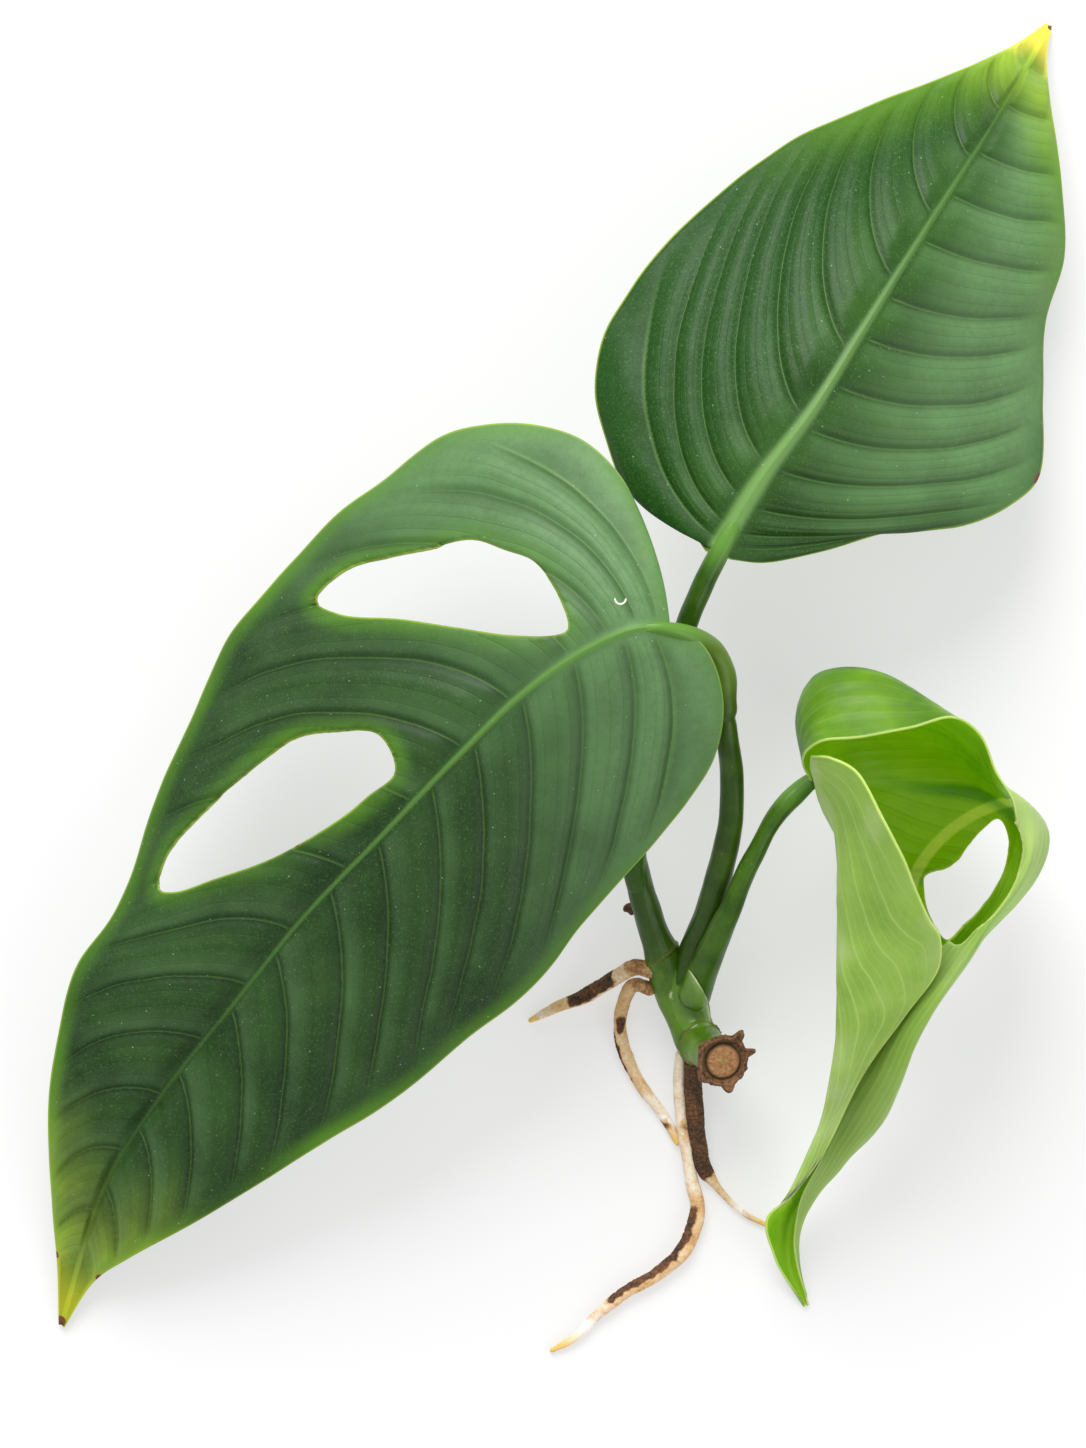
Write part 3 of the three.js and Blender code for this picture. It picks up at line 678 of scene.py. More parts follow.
YOUNG_GAP = (
    (67.5, -34.5), (71, -33.5), (73.5, -32), (75, -30), (78, -26.5), (81, -24.5), (83, -28.5),
    (82, -34), (78, -40.5), (74.5, -44), (71.5, -46.5), (68, -42), (67, -38),
)
YOUNG_THICKNESS = 0.4 * MM
YOUNG_RIB_DEPTH = 0.8 * MM
VEIN_GAP = 0.055               # share of the half width from one long vein to the next
CURL_CENTRE = (90, -48.2)      # the pale curl beside the gap follows a circle, in mm
CURL_RADIUS = 27.9


def furled_point(across, along):
    """Points of the bare furled blade, from across -1 to 1."""
    guides = [smooth_line(line, along, by_length=False) for line in YOUNG_GUIDES]
    p = np.stack(guides, 1)
    p = np.concatenate([2 * p[:, :1] - p[:, 1:2], p, 2 * p[:, -1:] - p[:, -2:-1]], 1)
    spans = len(guides) - 1
    t = (across + 1) / 2 * spans
    i = np.minimum(t.astype(int), spans - 1)
    rows = np.arange(len(p))
    return smooth_between(*(p[rows, i + k] for k in range(4)), (t - i)[:, None])


young_blade, across, along = new_grid("young_blade", 150, 300)
points = furled_point(across, along)
share = np.abs(across)
right, left = np.clip(across + 2e-3, -1, 1), np.clip(across - 2e-3, -1, 1)
across_run = np.linalg.norm(furled_point(right, along) - furled_point(left, along), axis=1)
across_run /= right - left
lean = 0.9 * share - 0.3 * along + 0.02 * soft_noise(points, 12 * MM, 3)
order = 10 + lean / VEIN_GAP
wide = np.minimum(across_run / 0.9 * VEIN_GAP, 6 * MM)
from_rib = np.linalg.norm(points - furled_point(across * 0, along), axis=1)
rib_mask = np.exp(-(from_rib / (0.9 * MM)) ** 2)
calm = smoothstep(0.0, 0.05, along) * (1 - smoothstep(0.9, 1.0, along))
height = 0.05 * wide * cushions(order) * calm * (1 - smoothstep(0.9, 1, share))
height += 0.35 * MM * soft_noise(points, 9 * MM, 6) * calm
height += -0.25 * MM * rib_mask * calm
set_points(young_blade, points)
set_points(young_blade, points + point_normals(young_blade) * height[:, None])
mark(young_blade, along=along, across=across, rib=rib_mask, order=order, wide=wide / MM,
     veined=calm * (1 - smoothstep(0.92, 1, share)))
open_gap(young_blade, YOUNG_GAP)
mark_rim(young_blade)


def young_skin(name, hood, hood_light, flap, flap_light, edge, vein_colour, roughness, ribbon, veining):
    """Soft young tissue, with streaks that follow its veins and a pale edge.

    ribbon is the strength of the pale curl beside the gap, and veining that of the veins."""
    f = Finish(name)
    patches = f.lumps(10 * MM, detail=4)
    mottle = f.lumps(1.3 * MM, detail=5, rough=0.7)
    vein, crease, fine_vein = side_veins(f, 3)
    along = f.mark("along")
    side = 1.0 - f.mark("across").step(0.15, -0.3) * (along.step(0.42, 0.24) * 0.75 + 0.25)
    tone = (patches - 0.5) * 1.8 + 0.4
    colour = f.mix(side, f.mix(tone, hood, hood_light), f.mix(tone, flap, flap_light))
    pale = side * f.lumps(22 * MM, detail=2, shift=0.6).step(0.45, 0.62) * 0.5 * veining
    colour = f.mix(pale, colour, srgb(176, 192, 140))
    lines = (vein * 0.34 + crease * 0.1 + fine_vein * 0.2) * (0.12 + side * 0.88) * veining
    colour = f.mix(lines + vein * (1.0 - veining) * 0.25, colour, vein_colour)
    curl = (f.far_from(*CURL_CENTRE) - CURL_RADIUS).math("ABSOLUTE").step(1.3, 0.7) * along.step(0.7, 0.5)
    colour = f.mix(curl * ribbon, colour, srgb(196, 216, 140))
    colour = f.mix(((mottle - 0.5) * 0.6 + 0.08) * side, colour, flap_light)
    colour = f.mix(along.step(0.5, 0.7) * f.mark("across").step(0.1, -0.1) * 0.35, colour, hood_light)
    colour = f.mix(f.mark("rib") * 0.35, colour, edge)
    colour = f.mix(along.step(0.88, 1.0) * 0.7, colour, hood)
    colour = f.mix(f.mark("rim").step(0.4, 0.1) * 0.7, colour, edge)
    relief = mottle * 0.3 + f.lumps(0.5 * MM, detail=2) * 0.2 + (vein + fine_vein) * (0.05 + side * 0.15)
    return f.skin(colour, roughness + (mottle - 0.5) * 0.12, f.bump(relief, 0.1 * MM, 0.6),
                  Subsurface_Weight=0.7, Subsurface_Radius=(0.8, 1.0, 0.2),
                  Subsurface_Scale=2.5 * MM, Specular_IOR_Level=0.28)


# The inside is a brighter green than the outside: partly its own colour, partly painted light for the
# daylight that shines through the thin hood.
young_blade.data.materials.append(young_skin(
    "young leaf inside", hood=srgb(108, 156, 4), hood_light=srgb(142, 186, 14), flap=srgb(104, 152, 8),
    flap_light=srgb(136, 182, 24), edge=srgb(170, 200, 84), vein_colour=srgb(74, 126, 2), roughness=0.42,
    ribbon=0.85, veining=0.3))
young_blade.data.materials.append(young_skin(
    "young leaf outside", hood=srgb(48, 90, 0), hood_light=srgb(98, 140, 8), flap=srgb(116, 152, 56),
    flap_light=srgb(150, 182, 84), edge=srgb(176, 198, 112), vein_colour=srgb(160, 188, 104),
    roughness=0.46, ribbon=0.0, veining=1.0))
thicken(young_blade, YOUNG_THICKNESS, YOUNG_RIB_DEPTH)
finish_piece(young_blade, "young_blade", "blade_young")

# ---- The stalks ----------------------------------------------------------------------------------
# Three smooth, juicy leaf stalks with a waxy green skin. Each grows out of the stem, and thickens
# below its blade into a paler joint, where the real leaf turns to the light.
SPLIT_STALK = {
    "line": [
        (24, -58, 7), (25, -51, 10), (28, -41.5, 18), (30, -33, 25), (31.5, -24.5, 31), (31.5, -16, 36),
        (30.5, -9, 41), (30, -3, 44), (29.5, 2, 46.5), (27.5, 6, 49.5), (24.5, 8, 53.4), (21, 9.2, 56.2),
        (17, 9.7, 57.4), (13.5, 9.2, 57.6),
    ],
    "radii": ((0, 3.3), (0.2, 2.6), (0.55, 2.1), (0.67, 1.85), (0.73, 2.3), (0.87, 1.8), (0.93, 1.3),
              (1, 0.7)),
}
WHOLE_STALK = {
    "line": [
        (15.6, -38, 16.2), (14.5, -34, 18.8), (14.5, -26.5, 24), (16.5, -15.5, 30), (19, -3, 36),
        (22, 7, 40), (24.5, 14, 43), (27, 19.5, 44.6), (29.5, 24.5, 45.3), (33, 31, 45.8),
    ],
    "radii": ((0, 2.0), (0.08, 2.3), (0.5, 1.9), (0.85, 1.9), (0.93, 1.7), (1, 0.8)),
}
YOUNG_STALK = {
    "line": [
        (25, -59, 9), (27, -52.5, 14), (29.5, -46, 20), (32, -40, 25), (34.5, -33.5, 28),
        (36.5, -29.5, 29.5), (38.5, -25.5, 30.2), (41, -22, 30.5), (43.5, -19.5, 30.5), (46, -17.5, 31),
        (47.2, -17.1, 31.2),
    ],
    "radii": ((0, 3.2), (0.25, 2.6), (0.5, 1.9), (0.75, 1.6), (0.9, 1.9), (1, 1.4)),
}


STALK_GLOW = (0.5, 1.0, 0.2)       # how far red, green and blue light spread inside a stalk


def carried_frame(line, shares):
    """Centres along a line, and two directions across it that turn as little as they can."""
    centres = smooth_line(line, shares)
    ahead = np.gradient(centres, axis=0)
    ahead /= np.linalg.norm(ahead, axis=1)[:, None]
    up = np.zeros_like(ahead)
    start = np.array((0.0, 0.0, 1.0))
    if abs(ahead[0, 2]) > 0.9:
        start = np.array((0.0, 1.0, 0.0))
    for i, way in enumerate(ahead):
        start = start - way * (start @ way)
        start /= np.linalg.norm(start)
        up[i] = start
    return centres, up, np.cross(ahead, up), ahead


def spokes(up, aside, angle):
    """Directions from a tube's middle line out to its skin."""
    return up * np.cos(angle)[:, None] + aside * np.sin(angle)[:, None]


def grow_tube(name, shape, sides, steps, relief):
    """A tube with rounded, closed ends. relief(angle, along, run) gives the skin's height in mm.

    angle is 0 on the side that faces up and grows to the right, seen along the line."""
    piece, turn, along = new_grid(name, sides, steps)
    angle = turn * np.pi
    rows = np.unique(along)
    centres, up, aside, _ = carried_frame(shape["line"], rows)
    run = np.concatenate([[0], np.cumsum(np.linalg.norm(np.diff(centres, axis=0), axis=1))]) / MM
    radius = smooth_steps(shape["radii"], rows)
    from_end = np.minimum(run, run[-1] - run)
    radius = radius * np.sqrt(1 - (1 - np.clip(from_end / (radius * 0.9), 0, 1)) ** 2)
    row = np.searchsorted(rows, along - 1e-9)
    height = relief(angle, along, run[row]) * smoothstep(0.0, 0.5, radius[row])
    reach = (radius[row] + height)[:, None] * MM
    set_points(piece, centres[row] + reach * spokes(up[row], aside[row], angle))
    mark(piece, along=along, turn=angle)
    close_seams(piece)
    return piece


def smooth_steps(pairs, shares):
    """Values at shares of a list of (share, value) pairs, with soft bends."""
    at, value = np.array(pairs, float).T
    fine = np.linspace(0, 1, 801)
    stepped = np.interp(fine, at, value)
    kernel = np.hanning(61)
    padded = np.pad(stepped, 30, mode="edge")
    return np.interp(shares, fine, np.convolve(padded, kernel / kernel.sum(), mode="valid"))


def close_seams(piece):
    """Joins a wrapped grid where its two sides meet and where its end rows shrink to a point."""
    mesh = bmesh.new()
    mesh.from_mesh(piece.data)
    bmesh.ops.remove_doubles(mesh, verts=mesh.verts, dist=1e-6)
    bmesh.ops.dissolve_degenerate(mesh, edges=mesh.edges, dist=1e-7)
    bmesh.ops.recalc_face_normals(mesh, faces=mesh.faces)
    for face in mesh.faces:
        face.smooth = True
    mesh.to_mesh(piece.data)
    mesh.free()


def stalk_relief(seed, joint=None):
    """Soft lumps and fine lengthwise lines, with a wrinkle at the lower end of a joint."""
    def relief(angle, along, run):
        where = np.stack([np.cos(angle) * 2, np.sin(angle) * 2, run * 0.35], 1)
        lumps = soft_noise(where, 1.6, seed) * 0.12
        lines = soft_noise(where * (1, 1, 0.12), 0.35, seed + 1) * 0.03
        if joint:
            lumps -= 0.22 * np.exp(-((along - joint) / 0.008) ** 2)
            lumps += 0.14 * np.exp(-((along - joint - 0.02) / 0.012) ** 2)
        return lumps + lines
    return relief


def stalk_skin(name, dark, light, joint_colour, joint):
    """Waxy green skin with fine streaks and scattered pale pores, paler from its joint on."""
    f = Finish(name)
    along = f.mark("along")
    patches = f.lumps(7 * MM, detail=4)
    streaks = f.node("ShaderNodeTexNoise", {},
                     {"Vector": f.place(), "Scale": 1 / (0.8 * MM), "Detail": 3.0})
    colour = f.mix((patches - 0.5) * 1.8 + 0.4, dark, light)
    colour = f.mix((along + (patches - 0.5) * 0.06).step(joint - 0.03, joint + 0.06), colour, joint_colour)
    colour = f.mix((streaks - 0.5) * 0.5 + 0.05, colour, light)
    colour = f.mix(along.step(0.82, 0.92), colour, srgb(84, 128, 44))
    pores = f.specks(1.5 * MM)
    colour = f.mix(pores.step(0.13, 0.05) * patches.step(0.45, 0.6) * 0.35, colour, srgb(168, 186, 110))
    relief = streaks * 0.6 + pores.step(0.2, 0.05) * 0.3
    rough = 0.34 + (streaks - 0.5) * 0.15
    return f.skin(colour, rough, f.bump(relief, 0.06 * MM, 0.5), Subsurface_Weight=0.1,
                  Subsurface_Radius=STALK_GLOW, Subsurface_Scale=0.8 * MM, Specular_IOR_Level=0.28)


split_stalk = grow_tube("split_stalk", SPLIT_STALK, 72, 420, stalk_relief(11, 0.665))
split_stalk.data.materials.append(stalk_skin(
    "split stalk skin", dark=srgb(30, 56, 0), light=srgb(64, 98, 12), joint_colour=srgb(84, 112, 34),
    joint=0.69))
finish_piece(split_stalk, "green_stalk", "stalk_split")

whole_stalk = grow_tube("whole_stalk", WHOLE_STALK, 64, 360, stalk_relief(13))
whole_stalk.data.materials.append(stalk_skin(
    "plain stalk skin", dark=srgb(26, 58, 2), light=srgb(62, 102, 14), joint_colour=srgb(82, 124, 34),
    joint=0.9))
finish_piece(whole_stalk, "green_stalk", "stalk_whole")

young_stalk = grow_tube("young_stalk", YOUNG_STALK, 64, 360, stalk_relief(15))
young_stalk.data.materials.append(stalk_skin(
    "young stalk skin", dark=srgb(36, 70, 2), light=srgb(76, 116, 20), joint_colour=srgb(76, 118, 22),
    joint=0.85))
finish_piece(young_stalk, "green_stalk", "stalk_young")

# ---- The stem -------------------------------------------------------------------------------------
# A short length of vine, cut across at its lower end. The cut shows tan wood inside a dark ring, and
# torn brown bark stands up around it. Brown scars cross the green skin where old leaves fell.
STEM = {
    "line": [
        (30.5, -68.5, 21), (29.5, -68, 16.5), (28, -67, 11.5), (26, -65, 7), (24, -59.5, 5.2),
        (21.5, -53.5, 6.5), (18.5, -46.5, 11), (16.5, -40.5, 14.5), (15, -34.5, 18), (14.6, -29, 22),
    ],
    "radii": ((0, 4), (0.18, 3.7), (0.24, 4.2), (0.3, 3.9), (0.4, 4.5), (0.5, 4.2), (0.64, 2.8), (0.88, 2.35),
              (1, 1.6)),
}
STEM_LENGTH = 57.5
SCAR_AT = 13.2                # along the stem in mm, from the cut face, as are the next two
CROWN_AT = 30.5
UPPER_SCAR_AT = 33.0
WOOD_SHARE = 0.6              # where the wood ends, as a share of the way out to the bark's foot
FACE_ROWS = 46                # rows of the stem's grid that make its cut face and the torn bark around it
#   each flap: its angle round the cut in radians, how far it stands out in mm, its half width
BARK_FLAPS = ((0.55, 2.6, 0.16), (1.25, 2.3, 0.13), (2.9, 1.8, 0.2), (-2.2, 1.2, 0.25), (-0.9, 0.8, 0.3))


def turn_between(angle, at):
    """The smaller angle between two directions around a tube."""
    return np.abs(np.angle(np.exp(1j * (angle - at))))


stem, turn, step = new_grid("stem", 200, 420)
angle = turn * np.pi
row = np.round(step * (len(np.unique(step)) - 1)).astype(int)
rows = row.max() + 1
face_share = row / FACE_ROWS
skin_share = np.clip((row - FACE_ROWS) / (rows - 1 - FACE_ROWS), 0, 1)
levels = np.linspace(0, 1, rows - FACE_ROWS)
centres, up, aside, ahead = carried_frame(STEM["line"], levels)
level = np.clip(row - FACE_ROWS, 0, len(levels) - 1)
run = skin_share * STEM_LENGTH
radius = smooth_steps(STEM["radii"], levels)[level]
radius *= np.sqrt(1 - (1 - np.clip((STEM_LENGTH - run) / 1.5, 0, 1)) ** 2)
ring = np.stack([np.cos(angle), np.sin(angle), run * 0], 1)
ragged = soft_noise(ring * 4, 1.0, 21) * 0.5 + soft_noise(ring * 12, 1.0, 22) * 0.3
flaps = sum(size * np.exp(-(turn_between(angle, at) / wide) ** 2) for at, size, wide in BARK_FLAPS)

where = np.stack([np.cos(angle) * 4, np.sin(angle) * 4, run], 1)
height = 0.16 * soft_noise(where, 4.0, 23) + 0.04 * soft_noise(where * (1, 1, 0.15), 0.6, 24)
scar_at = SCAR_AT + 0.5 * soft_noise(ring * 2, 1.0, 25)
scar = np.exp(-((run - scar_at) / 0.28) ** 2)
height += 0.4 * scar * (1 + 0.5 * soft_noise(ring * 9, 1.0, 26))
height -= 0.35 * np.exp(-((run - scar_at - 0.9) / 0.5) ** 2)
upper_scar = np.exp(-((run - UPPER_SCAR_AT - 1.5 * np.cos(angle)) / 0.35) ** 2)
height += 0.22 * upper_scar
collar = smoothstep(3.2, 0.0, run)
height += collar * (0.75 + 0.5 * ragged) + 0.12 * smoothstep(4, 1, run) * soft_noise(where, 0.7, 27)

# The skin is raised where the leaf sheath leaves the stem, up to a thin pale edge.
crown = run - CROWN_AT
tongue = 1.15 * smoothstep(-17.5, 0.0, crown) * smoothstep(0.2, -6.0, crown) + 0.05
edge = turn_between(angle, 0.35) - tongue * 1.4
in_sheath = smoothstep(0.05, -0.05, edge) * smoothstep(0.0, -1.0, crown) * smoothstep(-17, -16, crown)
height += 0.3 * in_sheath
sheath_edge = np.exp(-(edge / 0.075) ** 2) * smoothstep(0.5, -1.0, crown) * smoothstep(-15, -10, crown)

outward = spokes(up[level], aside[level], angle)
points = centres[level] + MM * (radius + height)[:, None] * outward
on_face = face_share < 1
share = np.clip(face_share, 0, 1)
wood = smoothstep(0.62, 0.55, share)
lip = smoothstep(0.6, 0.8, share)
out = np.interp(share, (0, WOOD_SHARE, 0.8, 1), (0, 3.55, 4.25, 4.75)) + lip * (0.35 * ragged + flaps * 0.75)
rise = 0.25 * np.cos(share / WOOD_SHARE * np.pi / 2) * wood
rise -= 0.35 * np.exp(-((share - WOOD_SHARE) / 0.05) ** 2)
rise += 0.12 * soft_noise(np.stack([np.cos(angle) * out, np.sin(angle) * out, out * 0], 1), 0.5, 28) * wood
rise += lip * (0.9 + 0.55 * ragged + flaps * 0.35) * smoothstep(1.0, 0.8, share)
face = centres[level] - ahead[level] * (rise * MM)[:, None] + MM * out[:, None] * outward
joined = points + MM * (flaps * 0.75 * smoothstep(1.6, 0.0, run))[:, None] * outward
set_points(stem, np.where(on_face[:, None], face, joined))
mark(stem, wood=wood * on_face, wood_ring=out * on_face,
     bark=np.where(on_face, 1 - wood, smoothstep(2.6, 0.8, run + ragged)),
     scar=np.clip(scar * 1.2 + upper_scar * 0.35, 0, 1) * (~on_face),
     sheath_edge=sheath_edge * (~on_face), along=skin_share)
close_seams(stem)

f = Finish("stem skin and cut wood")
patches = f.lumps(6 * MM, detail=4)
fine = f.lumps(0.7 * MM, detail=4, rough=0.65)
skin = f.mix((patches - 0.5) * 2.0 + 0.5, srgb(40, 76, 2), srgb(98, 140, 30))
skin = f.mix((fine - 0.5) * 0.6 + 0.1, skin, srgb(112, 150, 48))
skin = f.mix(f.mark("along").step(0.5, 0.7) * 0.75, skin, srgb(26, 54, 0))
skin = f.mix(f.mark("sheath_edge") * 0.8, skin, srgb(206, 214, 168))
wood = f.mark("wood")
ring = f.mark("wood_ring")
tan = f.mix((fine - 0.5) * 2.4 + 0.5, srgb(110, 72, 42), srgb(168, 126, 84))
tan = f.mix((ring + (fine - 0.5) * 0.8).step(2.5, 3.3), tan, srgb(52, 30, 18))
tan = f.mix(ring.step(0.55, 0.3) * 0.7, tan, srgb(120, 116, 60))
bark = f.mix((fine - 0.5) * 2.6 + patches * 0.5 + 0.2, srgb(46, 28, 16), srgb(134, 96, 62))
colour = f.mix(f.mark("scar") * (fine * 1.6).math("MINIMUM", 1.0), skin, srgb(118, 92, 56))
colour = f.mix((f.mark("bark") + (fine - 0.5) * 0.5).step(0.35, 0.6), colour, bark)
colour = f.mix(wood, colour, tan)
dry = (f.mark("bark") + wood + f.mark("scar") * 0.6).math("MINIMUM", 1.0)
stem.data.materials.append(f.skin(
    colour, 0.36 + dry * 0.45, f.bump(fine * (0.5 + dry * 2.5), 0.1 * MM, 0.6),
    Subsurface_Weight=0.08, Subsurface_Radius=STALK_GLOW, Subsurface_Scale=0.8 * MM,
    Specular_IOR_Level=0.3))
finish_piece(stem, "green_stem", "stem")

# ---- The leaf sheath -------------------------------------------------------------------------------
# The young stalk's base clasps the crown of the stem as a pointed tongue of green skin. Its free
# edge is thin, dry and whitish.
SHEATH_THICKNESS = 0.25 * MM
SHEATH_FREE_EDGE = [(23.4, -50.2, 0), (24.6, -52.4, 0), (26.2, -54.6, 0), (28, -57.8, 0), (28.9, -62.6, 0)]
SHEATH_BACK_EDGE = [(22.6, -50.4, 0), (21.4, -53.2, 0), (20.4, -56, 0), (20, -59, 0), (22, -64, 0)]
sheath, across, along = new_grid("leaf_sheath", 60, 90)
free = smooth_line(SHEATH_FREE_EDGE, along)
back = smooth_line(SHEATH_BACK_EDGE, along)
share = (across + 1) / 2
points = back + (free - back) * share[:, None]
bpy.context.evaluated_depsgraph_get().update()
for i, (x, y, _) in enumerate(points):
    drops = [piece.ray_cast((x, y, 100 * MM), (0, 0, -1)) for piece in (stem, young_stalk)]
    points[i, 2] = max([spot.z for lands, spot, _, _ in drops if lands], default=5 * MM)
set_points(sheath, points)
bpy.ops.object.select_all(action="DESELECT")
sheath.select_set(True)
bpy.context.view_layer.objects.active = sheath
smooth = sheath.modifiers.new("soften", "SMOOTH")
smooth.factor = 0.5
smooth.iterations = 12
bpy.ops.object.modifier_apply(modifier="soften")
points = get_points(sheath)
points[:, 2] += MM * (0.1 + 0.45 * smoothstep(0.2, 1.0, share)) * smoothstep(1.0, 0.85, along)
points[:, 2] -= 0.5 * MM * smoothstep(0.25, 0.0, share)
set_points(sheath, points)
mark(sheath, free=share + 0.05 * soft_noise(points, 1.5 * MM, 71), rib=share * 0, along=along)
f = Finish("sheath skin")
patches = f.lumps(5 * MM, detail=4)
fine = f.lumps(0.7 * MM, detail=4, rough=0.65)
colour = f.mix((patches - 0.5) * 2.0 + 0.5, srgb(56, 98, 6), srgb(108, 150, 44))
colour = f.mix(f.mark("free").step(0.7, 0.93) * 0.6, colour, srgb(132, 164, 88))
colour = f.mix(f.mark("free").step(0.93, 1.0) * 0.9, colour, srgb(204, 210, 170))
sheath.data.materials.append(f.skin(
    colour, 0.34, f.bump(fine, 0.06 * MM, 0.5), Subsurface_Weight=0.1,
    Subsurface_Radius=STALK_GLOW, Subsurface_Scale=0.8 * MM, Specular_IOR_Level=0.5))
sheath.data.materials.append(sheath.data.materials[0])
if point_normals(sheath)[:, 2].mean() < 0:
    sheath.data.flip_normals()
thicken(sheath, SHEATH_THICKNESS)
finish_piece(sheath, "green_stem", "stem")

# ---- The roots and the bud ------------------------------------------------------------------------
# Fleshy cream roots. Their outer skin turns dark brown and cracks where it has dried, and their tips
# are soft and pale. The bud is a short brown stub on the side of the stem.
#   dried: stretches of dry skin, as (from, to, angle, half width in radians, strength)
ROOTS = {
    "root_short": {
        "line": [
            (18.5, -53, 8.5), (15, -52, 8.5), (12, -53.5, 6.5), (9, -55.5, 4), (5, -58, 2.4),
            (1, -59.5, 1.8), (-5, -62.5, 0.7),
        ],
        "radii": ((0, 1.5), (0.6, 1.3), (0.9, 0.8), (1, 0.4)),
        "dried": ((0.3, 0.7, 0.4, 1.5, 1.0), (0.0, 0.2, 0.0, 9.0, 0.5), (0.2, 0.95, 0.0, 9.0, 0.2)),
    },
    "root_looped": {
        "line": [
            (18.5, -56.5, 6), (14.5, -55.5, 6), (12.5, -59.5, 4), (12, -64, 2.3), (13.5, -69.5, 1.4),
            (16, -74.5, 1.2), (19, -78.5, 1.1), (21.5, -82.3, 0.9), (23.2, -85.6, 0.8),
        ],
        "radii": ((0, 1.3), (0.5, 1.2), (0.9, 1), (1, 0.7)),
        "dried": ((0.28, 0.37, -0.6, 0.6, 1.0), (0.37, 0.56, 0.8, 0.5, 1.0), (0.6, 0.62, 0.4, 0.4, 0.9),
                  (0.86, 0.89, 0.0, 0.7, 0.9), (0.0, 0.12, 0.0, 9.0, 0.55), (0.1, 0.7, 0.0, 9.0, 0.25)),
    },
    "root_dark": {
        "line": [
            (25.5, -68.5, 6), (25.5, -74, 4.2), (26, -80, 2.9), (26.5, -85, 2.2), (27.5, -89.5, 1.8),
            (29.5, -92.5, 1.3), (32, -95.5, 0.9), (35.5, -98.5, 0.8), (39.5, -100.5, 0.65),
        ],
        "radii": ((0, 1.6), (0.3, 1.6), (0.6, 1.5), (0.66, 0.8), (0.8, 0.6), (1, 0.4)),
        "dried": ((-0.1, 0.62, 0.0, 9.0, 0.9), (0.6, 0.7, 0.0, 9.0, 0.3), (0.86, 0.93, 0.0, 9.0, 0.35)),
    },
    "root_long": {
        "line": [
            (23.5, -67.5, 5), (23, -73, 3.4), (23.5, -80, 2.2), (24.5, -86.5, 1.8), (25.5, -92.5, 1.7),
            (26.5, -97, 1.7), (25.5, -101.5, 1.6), (23.5, -105.5, 1.5), (19, -109.5, 1.4),
            (13, -113, 1.3), (8, -117, 1.1), (3.5, -121.5, 0.9), (-1, -124, 0.6),
        ],
        "radii": ((0, 1.2), (0.3, 1.2), (0.5, 1.45), (0.8, 1.1), (0.95, 0.7), (1, 0.35)),
        "dried": ((0.43, 0.8, 0.85, 0.75, 1.0), (0.2, 0.23, -0.3, 0.5, 0.8), (0.38, 0.86, 0.0, 9.0, 0.3)),
    },
}
BUD = {
    "line": [(15, -41.5, 12.5), (13.5, -41, 12), (12.5, -41.5, 11.7)],
    "radii": ((0, 1.2), (0.7, 0.9), (1, 0.3)),
}
ROOT_GIRTH = 1.3              # radius in mm on which noise is wrapped around every root


def root_skin():
    """Cream flesh that turns to tan, under dark dried skin where the piece marks it."""
    f = Finish("root skin")
    patches = f.lumps(4 * MM, detail=4)
    fine = f.lumps(0.6 * MM, detail=4, rough=0.7)
    along = f.mark("along")
    flesh = f.mix((patches - 0.45) * 2.2, srgb(228, 216, 196), srgb(206, 168, 118))
    flesh = f.mix((fine - 0.5) * 0.8 + 0.05, flesh, srgb(186, 146, 98))
    flesh = f.mix(along.step(0.78, 0.84) * along.step(0.93, 0.88), flesh, srgb(236, 230, 224))
    flesh = f.mix(along.step(0.9, 0.97), flesh, srgb(226, 186, 104))
    dried = f.mark("dried")
    dry = f.mix((fine - 0.5) * 2.4 + (patches - 0.5) * 1.6 + 0.3, srgb(40, 23, 10), srgb(128, 84, 48))
    stain = dried + (fine - 0.5) * 0.8 + (patches - 0.5) * 0.9
    colour = f.mix(stain.step(-0.1, 0.35) * 0.7, flesh, srgb(200, 148, 66))
    colour = f.mix(stain.step(0.3, 0.6) * 0.7, colour, srgb(138, 88, 42))
    colour = f.mix(stain.step(0.5, 0.8), colour, dry)
    rough = 0.5 + stain.step(0.4, 0.6) * 0.3
    return f.skin(colour, rough, f.bump(fine * (0.4 + dried * 1.6), 0.12 * MM, 0.6),
                  Subsurface_Weight=0.15, Subsurface_Radius=(1.0, 0.8, 0.5), Subsurface_Scale=0.8 * MM)


def wrapped(angle, run):
    """Places for noise around a root, which goes round its skin without a seam."""
    return np.stack([np.cos(angle) * ROOT_GIRTH, np.sin(angle) * ROOT_GIRTH, run], 1)


def dried_share(stretches, angle, along, where, seed):
    """How dry the skin is, with ragged borders, from 0 to each stretch's strength."""
    ragged = soft_noise(where, 1.1, 51 + seed)
    total = np.zeros(len(angle))
    for low, high, at, wide, strength in stretches:
        inner = np.minimum(along - low, high - along) + 0.012 * ragged
        around = wide - turn_between(angle, at) + 0.35 * ragged
        total = np.maximum(total, strength * smoothstep(-0.03, 0.025, inner)
                           * smoothstep(-0.5, 0.35, around))
    return total


def root_relief(stretches, seed):
    """Lumps and wrinkles, and a raised crust with cracks where the skin has dried."""
    def relief(angle, along, run):
        where = wrapped(angle, run)
        lumps = 0.16 * soft_noise(where, 3.5, 31 + seed) + 0.05 * soft_noise(where, 0.7, 35 + seed)
        wrinkles = 0.04 * soft_noise(where * (1, 1, 0.25), 0.4, 39 + seed)
        dry = dried_share(stretches, angle, along, where, seed)
        cracks = np.abs(soft_noise(where * (0.6, 0.6, 1.6), 0.9, 43 + seed))
        return lumps + wrinkles + dry * (0.12 - 0.25 * np.exp(-(cracks / 0.08) ** 2))
    return relief


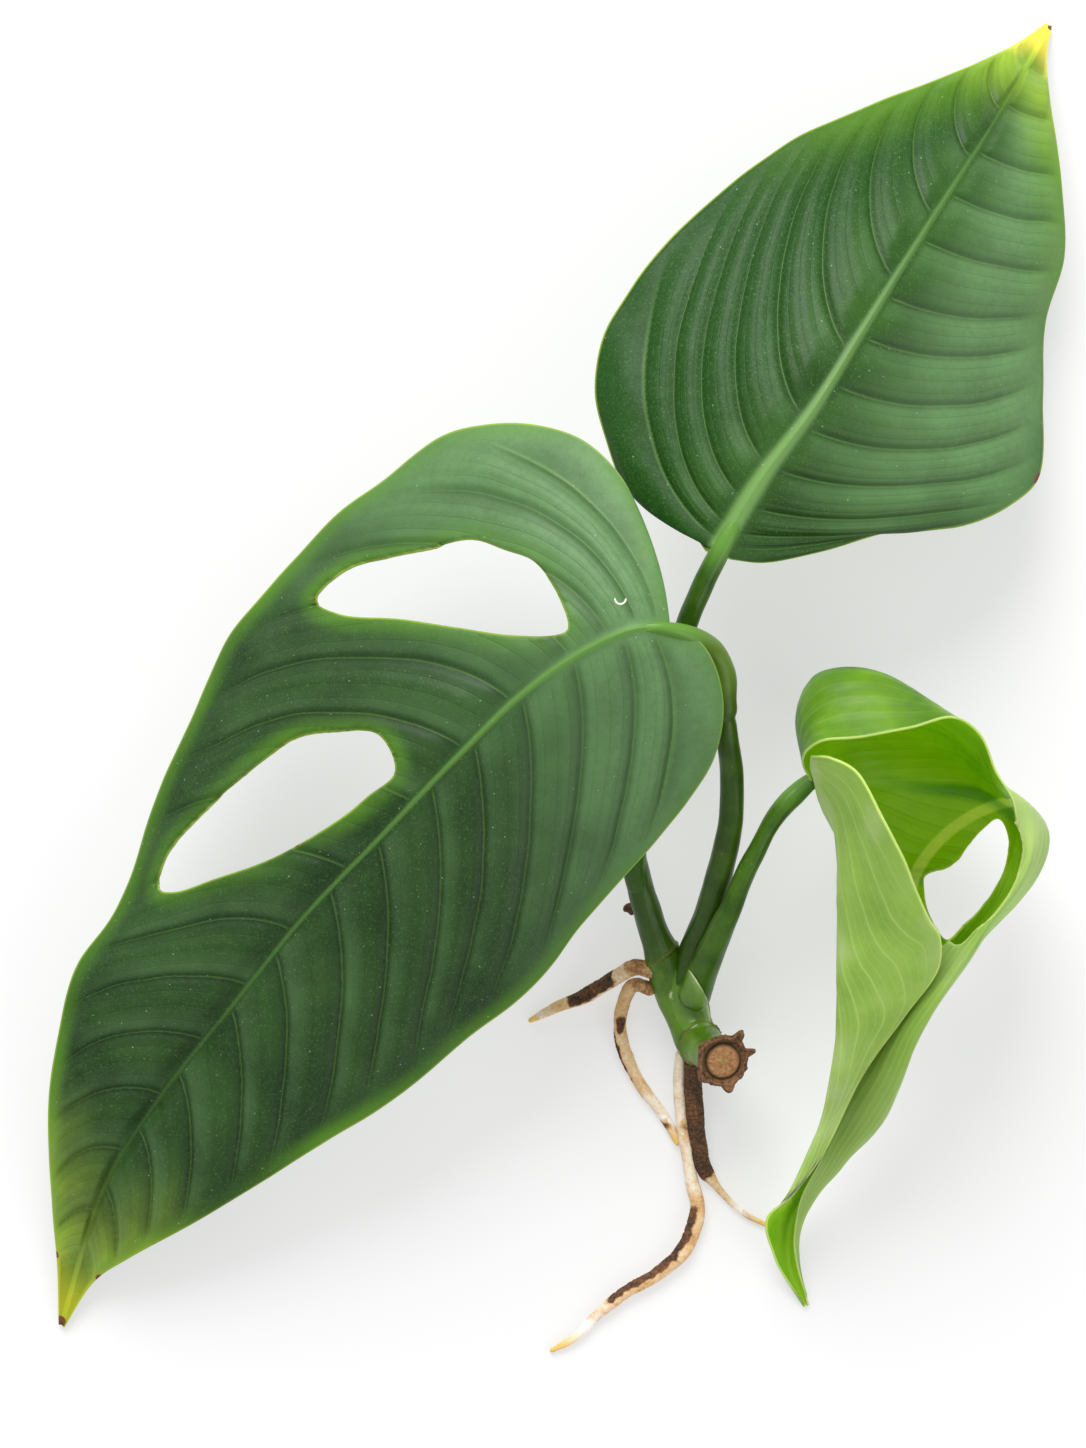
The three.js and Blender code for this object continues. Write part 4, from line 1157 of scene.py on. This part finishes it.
cream = root_skin()
for seed, (node, shape) in enumerate(ROOTS.items()):
    root = grow_tube(node, shape, 40, 420, root_relief(shape["dried"], seed))
    along, angle = marked(root, "along"), marked(root, "turn")
    line = smooth_line(shape["line"], np.linspace(0, 1, 200))
    length = np.linalg.norm(np.diff(line, axis=0), axis=1).sum()
    where = wrapped(angle, along * length / MM)
    mark(root, dried=dried_share(shape["dried"], angle, along, where, seed))
    root.data.materials.append(cream)
    finish_piece(root, "root_skin" if node != "root_dark" else "brown_root_skin", node)

bud = grow_tube("root_bud", BUD, 32, 60, lambda angle, along, run: 0.2 * soft_noise(
    np.stack([np.cos(angle), np.sin(angle), run], 1), 0.6, 61))
mark(bud, dried=np.ones(len(bud.data.vertices)))
bud.data.materials.append(cream)
finish_piece(bud, "brown_root_skin", "root_bud")

# ---- The table, the light and the camera ----------------------------------------------------------
# A wide pale table that glows a little, as a light box does. A large soft window lights it from beyond
# its far side and a weaker reflector from the near right, in an even, bright room.
bpy.ops.object.select_all(action="DESELECT")
bpy.ops.mesh.primitive_plane_add(size=6.0, location=(0, 0, 0))
table = bpy.context.object
table.name = table.data.name = "table"
paper = Finish("white paper")
table.data.materials.append(paper.skin(
    (0.32, 0.32, 0.32, 1), 0.95, None, Emission_Color=(1, 1, 1, 1), Emission_Strength=0.52))

for name, place, width, watts in (("window", (-0.2, 1.0, 0.9), 0.95, 24.0),
                                  ("reflector", (0.9, -0.55, 0.7), 1.0, 5.0)):
    bpy.ops.object.light_add(type="AREA", location=place)
    light = bpy.context.object
    light.name = name
    light.data.shape = "DISK"
    light.data.size = width
    light.data.energy = watts
    light.rotation_euler = (-Vector(place)).to_track_quat("-Z", "Y").to_euler()

room = bpy.data.worlds.new("room")
bpy.context.scene.world = room
room.use_nodes = True
daylight = room.node_tree.nodes["Background"].inputs
daylight["Color"].default_value = (1.0, 1.0, 1.0, 1.0)
daylight["Strength"].default_value = 0.72
bpy.context.scene.view_settings.view_transform = "Standard"

CAMERA_AT = (-2.3 * MM, -7.1 * MM, 900 * MM)
bpy.ops.object.camera_add(location=CAMERA_AT, rotation=(0, 0, 0))
camera = bpy.context.object
camera.name = "camera"
camera.data.lens = 120
camera.data.sensor_width = 36
camera.data.clip_start = 0.01
bpy.context.scene.camera = camera
